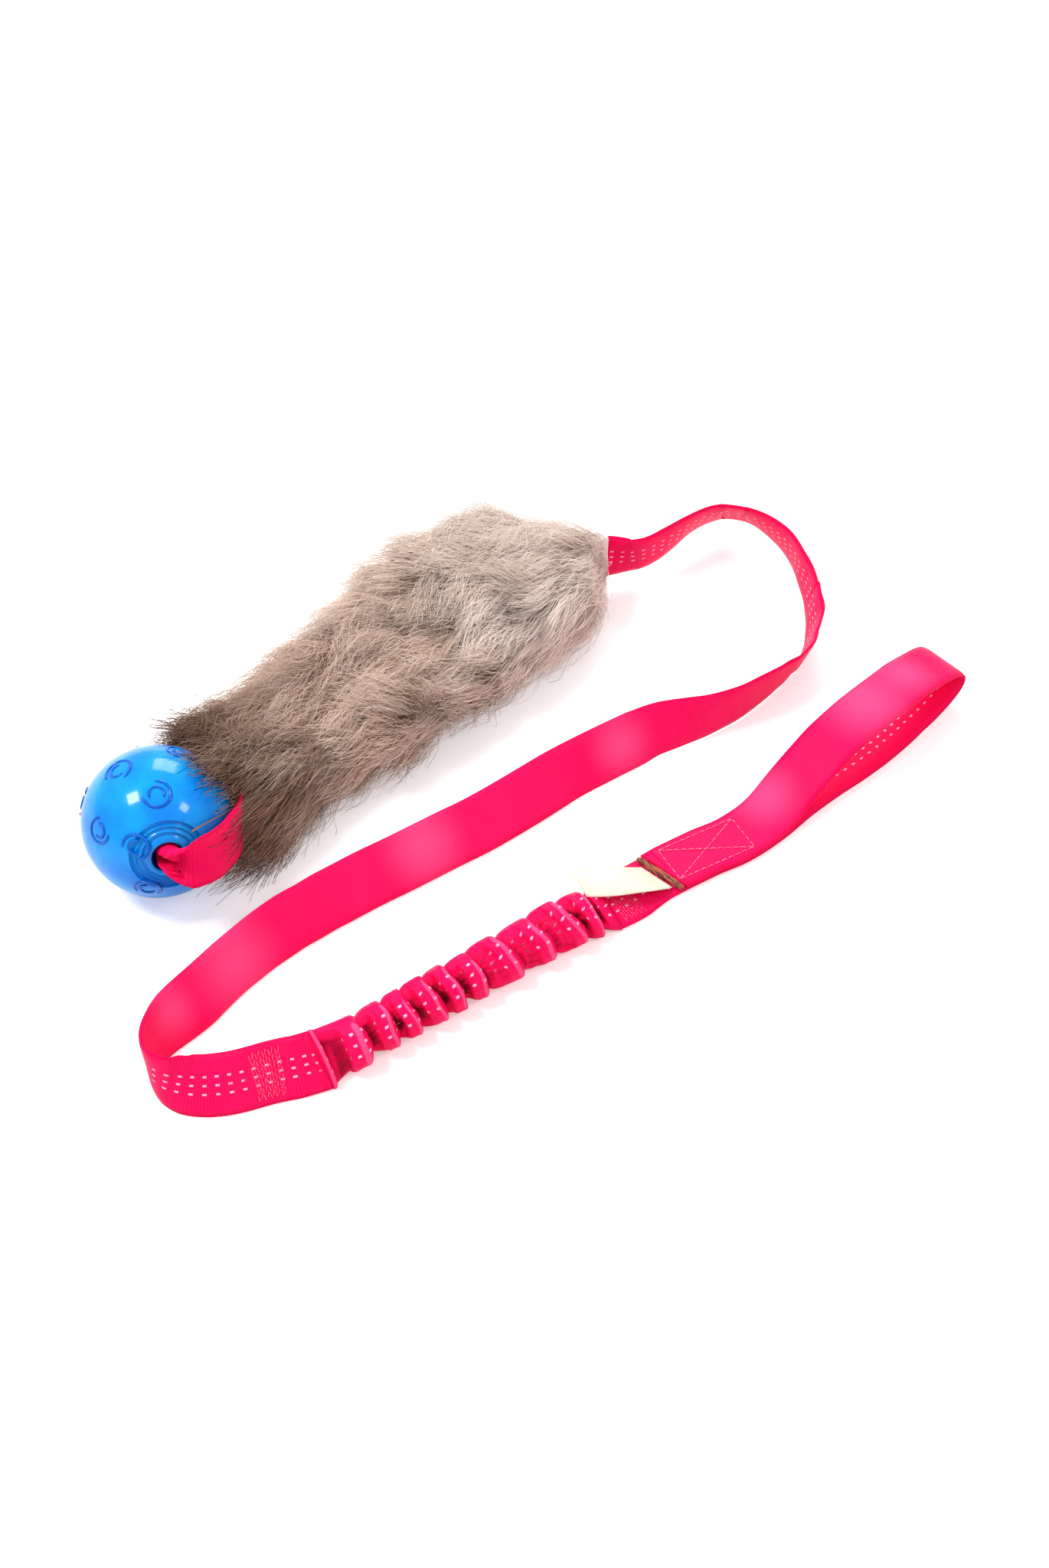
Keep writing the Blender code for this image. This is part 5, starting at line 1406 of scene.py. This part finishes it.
# %% Squeaker
refinish(grained("squeaker_plastic", (0.006, 0.012, 0.05), 0.35, (1500.0, 3.0),
                 (0.004, 0.009, 0.04), (0.012, 0.025, 0.09), 0.00005), "squeaker_case")
refinish(grained("reed_plastic", (0.62, 0.60, 0.54), 0.4, (1200.0, 3.0),
                 (0.55, 0.53, 0.47), (0.72, 0.70, 0.63), 0.00005), "squeaker_reed")

# %% [markdown]
# ## The fur
# The fur is long sheep's wool on a skin: pale by the neck, browner towards the ball. It is made in
# two parts. A coat body gives the volume and the shade between the hairs. On it a Geometry
# Nodes tree grows the hairs: it scatters roots, sets one thin tapered strand on each, and then
# moves the points of every strand, because tufts, waves and gravity are rules about distance
# along the hair and not shapes to be modelled one by one.

# %% Coat body
FUR_WIDTH = 0.0800
FUR_HEIGHT = 0.0400
FUR_SHARES = (
    (0.000, 0.22, 0.86, 0.000), (0.015, 0.28, 0.87, 0.012), (0.035, 0.40, 0.89, 0.044),
    (0.070, 0.68, 0.92, 0.120), (0.112, 0.88, 0.96, 0.160), (0.160, 0.96, 0.99, 0.178),
    (0.220, 1.00, 1.00, 0.175), (0.297, 1.00, 0.98, 0.155), (0.420, 0.93, 1.00, 0.105),
    (0.500, 0.86, 0.97, 0.072), (0.570, 0.82, 0.98, 0.052), (0.700, 0.78, 0.96, 0.030),
    (0.830, 0.73, 0.98, 0.012), (0.890, 0.73, 0.98, 0.000), (0.935, 0.73, 0.97, -0.008),
    (0.970, 0.72, 0.93, -0.012), (0.990, 0.68, 0.89, -0.012), (1.000, 0.64, 0.84, -0.012))
COAT_INSET = 0.0022
COAT_START, COAT_SPAN = 0.014, 0.972
COAT_AROUND = 64
COAT_LUMPS = ((27.0, 0.0046), (80.0, 0.0015))
LIP = ((0.0002, 0.0019, 0.0134), (0.0004, 0.0027, 0.0139), (0.0018, 0.0031, 0.0140))
LIP_LENGTH = 0.0018
FUR_SIDE = Vector((FUR_HEADING.y, -FUR_HEADING.x, 0.0))


def round_about(roundness):
    """Angle, cosine, sine and the two sides of a rounded box, for every place round the coat."""
    for k in range(COAT_AROUND):
        angle = math.tau * (k + 0.5) / COAT_AROUND
        c, s = math.cos(angle), math.sin(angle)
        yield (angle, c, s, math.copysign(abs(c) ** roundness, c),
               math.copysign(abs(s) ** roundness, s))


def coat_ring(share):
    """A section of the coat at a share of its length: a lumpy rounded box on the floor."""
    place = COAT_START + COAT_SPAN * share
    off = share_at(FUR_SHARES, place, 3) * FUR_WIDTH
    middle = NECK + FUR_HEADING * (FUR_LENGTH * place) + FUR_SIDE * off
    wide = share_at(FUR_SHARES, share, 1) * FUR_WIDTH / 2 - COAT_INSET
    top = share_at(FUR_SHARES, share, 2) * FUR_HEIGHT - COAT_INSET
    middle.z = top / 2 + 0.0006
    ring = []
    for angle, c, s, u, v in round_about(0.85):
        point = middle + FUR_SIDE * (u * wide) + upright(v * top / 2)
        lump = sum(noise.noise(point * scale) * height for scale, height in COAT_LUMPS)
        point += (FUR_SIDE * c + upright(s)) * lump
        point.z = max(point.z, 0.0004)
        ring.append(point)
    return ring


def lip_ring(back, wide, high):
    """The edge of the skin round the tape at the neck."""
    ring = []
    for angle, c, s, u, v in round_about(0.6):
        uneven = noise.noise(Vector((s * 2, c, 5.0))) * 0.0006
        ring.append(NECK + FUR_HEADING * (back + 0.0005 * math.sin(angle * 2 + 1.0))
                    + FUR_SIDE * (u * wide + uneven) + upright(v * high))
    return ring


coat_mesh = ring_mesh("fur_coat", [lip_ring(*row) for row in LIP]
                      + [coat_ring(share) for share in np.linspace(0.0, 1.0, 90)])
for face in coat_mesh.polygons:
    face.material_index = 1 if (face.center - NECK).dot(FUR_HEADING) < LIP_LENGTH else 0

# %% [markdown]
# ### The comb
# The skin carries the way in which its wool is combed: towards the ball, swirled by two smooth
# drifts that lie along the skin, spread out at the neck, and laid over the ball at the mouth.

# %% Comb
COMB_SEED = 5.0
DRIFTS = ((14.0, 0.66), (42.0, 0.40))
OUT_OF_SKIN = 0.60


def drift_at(point, scale):
    """A smooth random direction that repeats exactly from run to run."""
    at = point * scale
    return Vector([noise.noise(at + Vector((COMB_SEED * 7.0, 13.0 * k, 5.0))) for k in range(3)])


def combed_at(p):
    """The way in which the wool at a place on the skin is combed."""
    past = (p - NECK).dot(FUR_HEADING)
    outwards = (p - NECK - FUR_HEADING * past).normalized()
    neck = max(1.0 - past / (FUR_LENGTH * 0.07), 0.0)
    drift = sum((drift_at(p, scale) * amount for scale, amount in DRIFTS), Vector())
    drift -= outwards * (drift.dot(outwards) * OUT_OF_SKIN)
    way = FUR_HEADING * (1.0 - 0.75 * neck) + outwards * 0.45 * neck + drift * (1.0 - 0.6 * neck)
    mouth = min(max(past / FUR_LENGTH - 0.80, 0.0) * 5.0, 1.0)
    mouth *= min(max(p.z - 0.014, 0.0) * 60, 1.0)
    over_ball = (BALL + Vector((0.0, -0.006, BALL_RADIUS * 0.7)) - p).normalized()
    return (way.normalized() + over_ball * 1.1 * mouth).normalized()


comb = [v for vertex in coat_mesh.vertices for v in combed_at(vertex.co)]
coat_mesh.attributes.new("comb", "FLOAT_VECTOR", "POINT").data.foreach_set("vector", comb)
print("coat:", len(coat_mesh.polygons), "faces")

# %% [markdown]
# ### Fur colours
# The colour is read from where the hair grows, kept on every strand as its root. It goes from
# pinkish beige at the neck to taupe near the ball, with dark brown patches, darker at the root
# and lighter at the tip. Low down the wool is painted darker as shade. The coat body uses the
# same sums with its own place as the root, and is painted darker all over as the shade between
# the hairs.

# %% Fur finish
NECK_WOOL = (1.00, 0.86, 0.78)
MIDDLE_WOOL = (0.82, 0.59, 0.455)
MOUTH_WOOL = (0.54, 0.33, 0.225)
DARK_WOOL_AND_SHADE = (0.17, 0.073, 0.040)
PALE_WOOL = (1.00, 0.93, 0.87)


def fur_finish(name, strand):
    """Wool colours by place on the fur. A strand also darkens at its root, pales at its tip."""
    finish = Finish(name, MIDDLE_WOOL, 0.6, Specular_IOR_Level=0.12)
    root = finish.attribute("root", 1) if strand else finish.place()
    x, y, z = finish.axes(root)
    share = (NECK.x - x) / FUR_LENGTH
    slow = finish.noise(root, 38.0, 3.0, 0.6)
    patch = finish.noise(finish.vector("ADD", root, (3.0, 1.0, 0.0)), 60.0, 3.0, 0.6)
    fine = finish.noise(root, 420.0, 2.0, 0.6)
    colour = finish.mix((share + slow * 0.6 - 0.3).ramp(0.10, 0.70), NECK_WOOL, MIDDLE_WOOL)
    colour = finish.mix((share + slow * 0.6 - 0.3).ramp(0.78, 1.05), colour, MOUTH_WOOL)
    colour = finish.mix((patch - 0.54 + share * 0.18).ramp(0.04, 0.18) * 0.55, colour, DARK_WOOL_AND_SHADE)
    colour = finish.mix(fine.ramp(0.42, 0.72) * 0.5, colour, PALE_WOOL)
    # Painted shade: the wool is darker low down, towards the floor.
    painted_low_shade = (1.0 - z.ramp(0.003, 0.018)) * 0.5
    colour = finish.mix(painted_low_shade, colour, DARK_WOOL_AND_SHADE)
    colour = finish.mix((share + slow * 0.2 - 0.1).ramp(0.82, 0.98) * 0.80, colour, DARK_WOOL_AND_SHADE)
    if strand:
        along = finish.attribute("along", 2)
        colour = finish.mix((1.0 - along.ramp(0.0, 0.60)) * 0.40, colour, DARK_WOOL_AND_SHADE)
        colour = finish.mix(along.ramp(0.50, 1.0) * (1.0 - share.ramp(0.60, 0.95)) * 0.30,
                            colour, PALE_WOOL)
    else:
        # Painted shade: the coat body under the hairs is darker all over.
        colour = finish.mix(0.22, colour, DARK_WOOL_AND_SHADE)
        finish.bump(fine + slow, 0.002, 0.9)
    finish.set("Base Color", colour)
    return finish.material


coat_finish = fur_finish("fur_coat", False)
strand_finish = fur_finish("fur_strands", True)

skin = grained("fur_skin", (0.62, 0.54, 0.46), 0.8, (700.0, 4.0, 0.6),
               (0.80, 0.76, 0.70), (0.95, 0.93, 0.89), 0.0003)

# %% [markdown]
# ### Roots and strands
# The tree scatters the roots by area, denser over the ball and sparse underneath, and keeps on
# each what its hair will need: where it stands, which way the skin faces, how it is combed and
# how long it is. A straight tapered strand of unit length is then set on every root.

# %% Roots and strands
hair = Growth("hairs", Hair_Length=0.027, Hair_Width=0.00019, Density=1550000.0, Seed=1,
              Tuft_Size=0.0100, Lift=0.0050, From=0.0, To=1.0, Finish=strand_finish)
SIZE_RANGE = {2: 0.55, 3: 1.25}
STRAND_POINTS, STRAND_SIDES, TIP_SHARE = 6, 3, 0.06
FACES_BALL, FACES_DOWN = 0.7, -0.55

here = hair.node("GeometryNodeInputPosition")
skin_way = hair.node("GeometryNodeInputNormal")
share_here = (NECK.x - hair.axes(here)[0]) / FUR_LENGTH
to_ball = hair.vector("DOT_PRODUCT", skin_way, tuple(FUR_HEADING), output=1)
in_band = (share_here > hair.input("From")) * (share_here < hair.input("To"))
in_band = in_band * (to_ball < FACES_BALL)
turned_down = hair.axes(skin_way)[2] < FACES_DOWN
near_mouth = share_here.ramp(0.82, 0.98)
density = hair.input("Density") * (1.0 - turned_down * 0.75) * (1.0 + near_mouth * 0.7)
points = hair.node("GeometryNodeDistributePointsOnFaces", {"distribute_method": "RANDOM"},
                   {"Mesh": hair.geometry, "Selection": in_band, "Density": density,
                    "Seed": hair.input("Seed")})
skin_facing = Wire(hair, points.socket.node.outputs["Normal"])
size = hair.node("FunctionNodeRandomValue", {"data_type": "FLOAT"}, {**SIZE_RANGE, "Seed": 7}, 1)
yaw = hair.node("FunctionNodeRandomValue", {"data_type": "FLOAT_VECTOR"},
                {0: (-1.0, -1.0, -1.0), 1: (1.0, 1.0, 1.0), "Seed": 11})
yaw = hair.times(yaw, near_mouth * 0.16 + 0.16)
combed = hair.vector("NORMALIZE", hair.vector("ADD", hair.named("comb"), yaw))
for label, value, kind in (("root", here, "FLOAT_VECTOR"), ("facing", skin_facing, "FLOAT_VECTOR"),
                           ("size", size, "FLOAT"), ("way", combed, "FLOAT_VECTOR")):
    points = hair.store(points, label, value, kind)

line = hair.node("GeometryNodeCurvePrimitiveLine", None,
                 {"Start": (0.0, 0.0, 0.0), "End": (1.0, 0.0, 0.0)})
line = hair.node("GeometryNodeResampleCurve", None, {"Curve": line, "Count": STRAND_POINTS})
factor = hair.node("GeometryNodeSplineParameter")
line = hair.node("GeometryNodeSetCurveRadius", None,
                 {"Curve": line,
                  "Radius": (1.0 - factor.power(1.6)) * (1.0 - TIP_SHARE) + TIP_SHARE})
profile = hair.node("GeometryNodeCurvePrimitiveCircle", None,
                    {"Resolution": STRAND_SIDES, "Radius": hair.input("Hair_Width") * 0.5})
strand = hair.node("GeometryNodeCurveToMesh", None, {"Curve": line, "Profile Curve": profile})
strand = hair.store(strand, "along", hair.axes(here)[0], "FLOAT")
hairs = hair.node("GeometryNodeInstanceOnPoints", None,
                  {"Points": points, "Instance": strand,
                   "Rotation": hair.aligned(hair.named("way"), hair.named("facing"))})
hairs = hair.node("GeometryNodeRealizeInstances", None, {0: hairs})

# %% [markdown]
# ### Moving the strands
# Each point moves by a sum of small rules that grow along the hair, t = 0 at the root and 1 at
# the tip: its length, a lift off the skin, waves to the side and up, a pull to the middle of its
# tuft and of a larger lock, and the fall of the tip. At the end no point may lie inside the ball
# or under the floor.

# %% Moving the strands
WAVE, WAVE_UP = 0.0036, 0.0019
TUFT_PULL, LOCK_PULL, LOCK_SCALE = 0.55, 0.42, 52.0
TIP_FALL, MOUTH_LIFT, STRAY_LIFT = -0.0035, 0.015, 2.4
BALL_CLEARANCE, FRONT_CLEARANCE = 0.0008, 0.0040
HAIR_FLOOR = 0.0005


def centre_of_cell(scale):
    """The middle of the random cell that a root stands in."""
    return hair.node("ShaderNodeTexVoronoi", {"feature": "F1"},
                     {"Vector": root, "Scale": scale}, "Position")


t = hair.named("along", "FLOAT")
root, way, facing = (hair.named(label) for label in ("root", "way", "facing"))
facing_y, facing_z = hair.axes(facing)[1:]
fur_share = (NECK.x - hair.axes(root)[0]) / FUR_LENGTH
at_mouth = fur_share.ramp(0.84, 0.98)
phase = hair.node("ShaderNodeTexNoise", None, {"Vector": root, "Scale": 42.0})
stray = hair.node("ShaderNodeTexWhiteNoise", {"noise_dimensions": "3D"},
                  {"Vector": hair.times(root, 9000.0)})
long = hair.named("size", "FLOAT") * hair.input("Hair_Length") \
    * (at_mouth * (0.20 - facing_y * 0.38) + 0.90)
high = hair.input("Lift") * (1.0 + stray.power(8.0) * STRAY_LIFT) \
    * (fur_share.ramp(0.0, 0.06) * 0.8 + 0.2)
beside = hair.vector("CROSS_PRODUCT", facing, way)
pull = hair.vector("SUBTRACT", centre_of_cell(1.0 / hair.input("Tuft_Size")), root)
lock = hair.vector("SUBTRACT", centre_of_cell(LOCK_SCALE), root)
sideways = 1.0 - facing_z.abs()
raised = fur_share.ramp(0.84, 0.99) * MOUTH_LIFT * (facing_z + 0.15).maximum(0.0)
fall = t * t * TIP_FALL * sideways + t.power(1.5) * raised
move = hair.times(way, long * t - t)
for part in (hair.times(facing, high * (t * 2.0 - t * t * 1.35)),
             hair.times(beside, (t * 5.5 + phase * 20.0).sin() * t * WAVE),
             hair.times(facing, (t * 5.0 + phase * 27.0).sin() * t * WAVE_UP),
             hair.times(pull, t.power(1.3) * TUFT_PULL * (1.0 - stray.power(5.0))),
             hair.times(lock, t.power(1.5) * LOCK_PULL),
             hair.node("ShaderNodeCombineXYZ", None, {2: fall})):
    move = hair.vector("ADD", move, part)
hairs = hair.node("GeometryNodeSetPosition", None, {"Geometry": hairs, "Offset": move})
from_ball = hair.vector("SUBTRACT", here, tuple(BALL))
away = hair.vector("LENGTH", from_ball, output=1)
in_front = hair.vector("DOT_PRODUCT", from_ball, tuple(BORE), output=1) / away
keep = in_front.ramp(-0.1, 0.5) * FRONT_CLEARANCE + (BALL_RADIUS + BALL_CLEARANCE)
outside = hair.vector("ADD", hair.times(from_ball, away.maximum(keep) / away), tuple(BALL))
hairs = hair.node("GeometryNodeSetPosition", None, {"Geometry": hairs, "Position": outside})
x, y, z = hair.axes(here)
grounded = hair.node("ShaderNodeCombineXYZ", None, {0: x, 1: y, 2: z.maximum(HAIR_FLOOR)})
hairs = hair.node("GeometryNodeSetPosition", None, {"Geometry": hairs, "Position": grounded})
hair.close(hairs)

# %% [markdown]
# ### Hairs in bands
# One mesh for all the hairs would be too heavy to hand on, so the tree runs once for each band
# of the coat. The two bands at the mouth lie over the ball and are carried by no body. At the
# far end of a swing some tips still meet the rubber.

# %% Hairs in bands
FUR_BANDS, BANDS_AT_MOUTH = 10, 2
BARE_NECK, PAST_MOUTH = 0.0135, 1.2
coat_mesh.materials.append(coat_finish)
coat_mesh.materials.append(skin)
put("fur_coat", coat_mesh, None, "fur", ["fur_pile"])
band_total = 0
for band in range(FUR_BANDS):
    low = band / FUR_BANDS if band else BARE_NECK
    high = (band + 1) / FUR_BANDS if band < FUR_BANDS - 1 else PAST_MOUTH
    name = "fur_hairs_%d" % (band + 1)
    tuft = hair.run(name, coat_mesh.copy(), From=low, To=high, Seed=band + 3,
                    Finish=strand_finish)
    forget(tuft, "facing", "way", "size", "comb")
    over_mouth = band >= FUR_BANDS - BANDS_AT_MOUTH
    grown = put(name, tuft, None, None if over_mouth else "fur")
    if over_mouth:
        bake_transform(grown)
    band_total += len(tuft.polygons) * 2
print("hairs:", band_total, "triangles in", FUR_BANDS, "bands")

# %% [markdown]
# ### Inside the fur
# The skin, the tape through it and the sewing can hardly be seen, but they are real pieces, so
# each gets its own finish.

# %% Hidden pieces of the fur
INNER_RIBS = 10134.0
sewing = thread_finish("fur_sewing", (0.35, 0.27, 0.22), (0.52, 0.44, 0.38))
inner = Finish("inner_webbing", (0.86, 0.003, 0.10), 0.55, Sheen_Weight=0.2)
ribs = (inner.axes(inner.place())[0] * INNER_RIBS).sin()
inner.set("Base Color", inner.mix(ribs * 0.5 + 0.5, PINK_DEEP, PINK))
inner.bump(ribs, 0.0001, 0.7)
refinish(skin, "fur_hide")
refinish(inner.material, "core_webbing")
refinish(sewing, "hide_seam", "neck_stitching", "mouth_stitching")
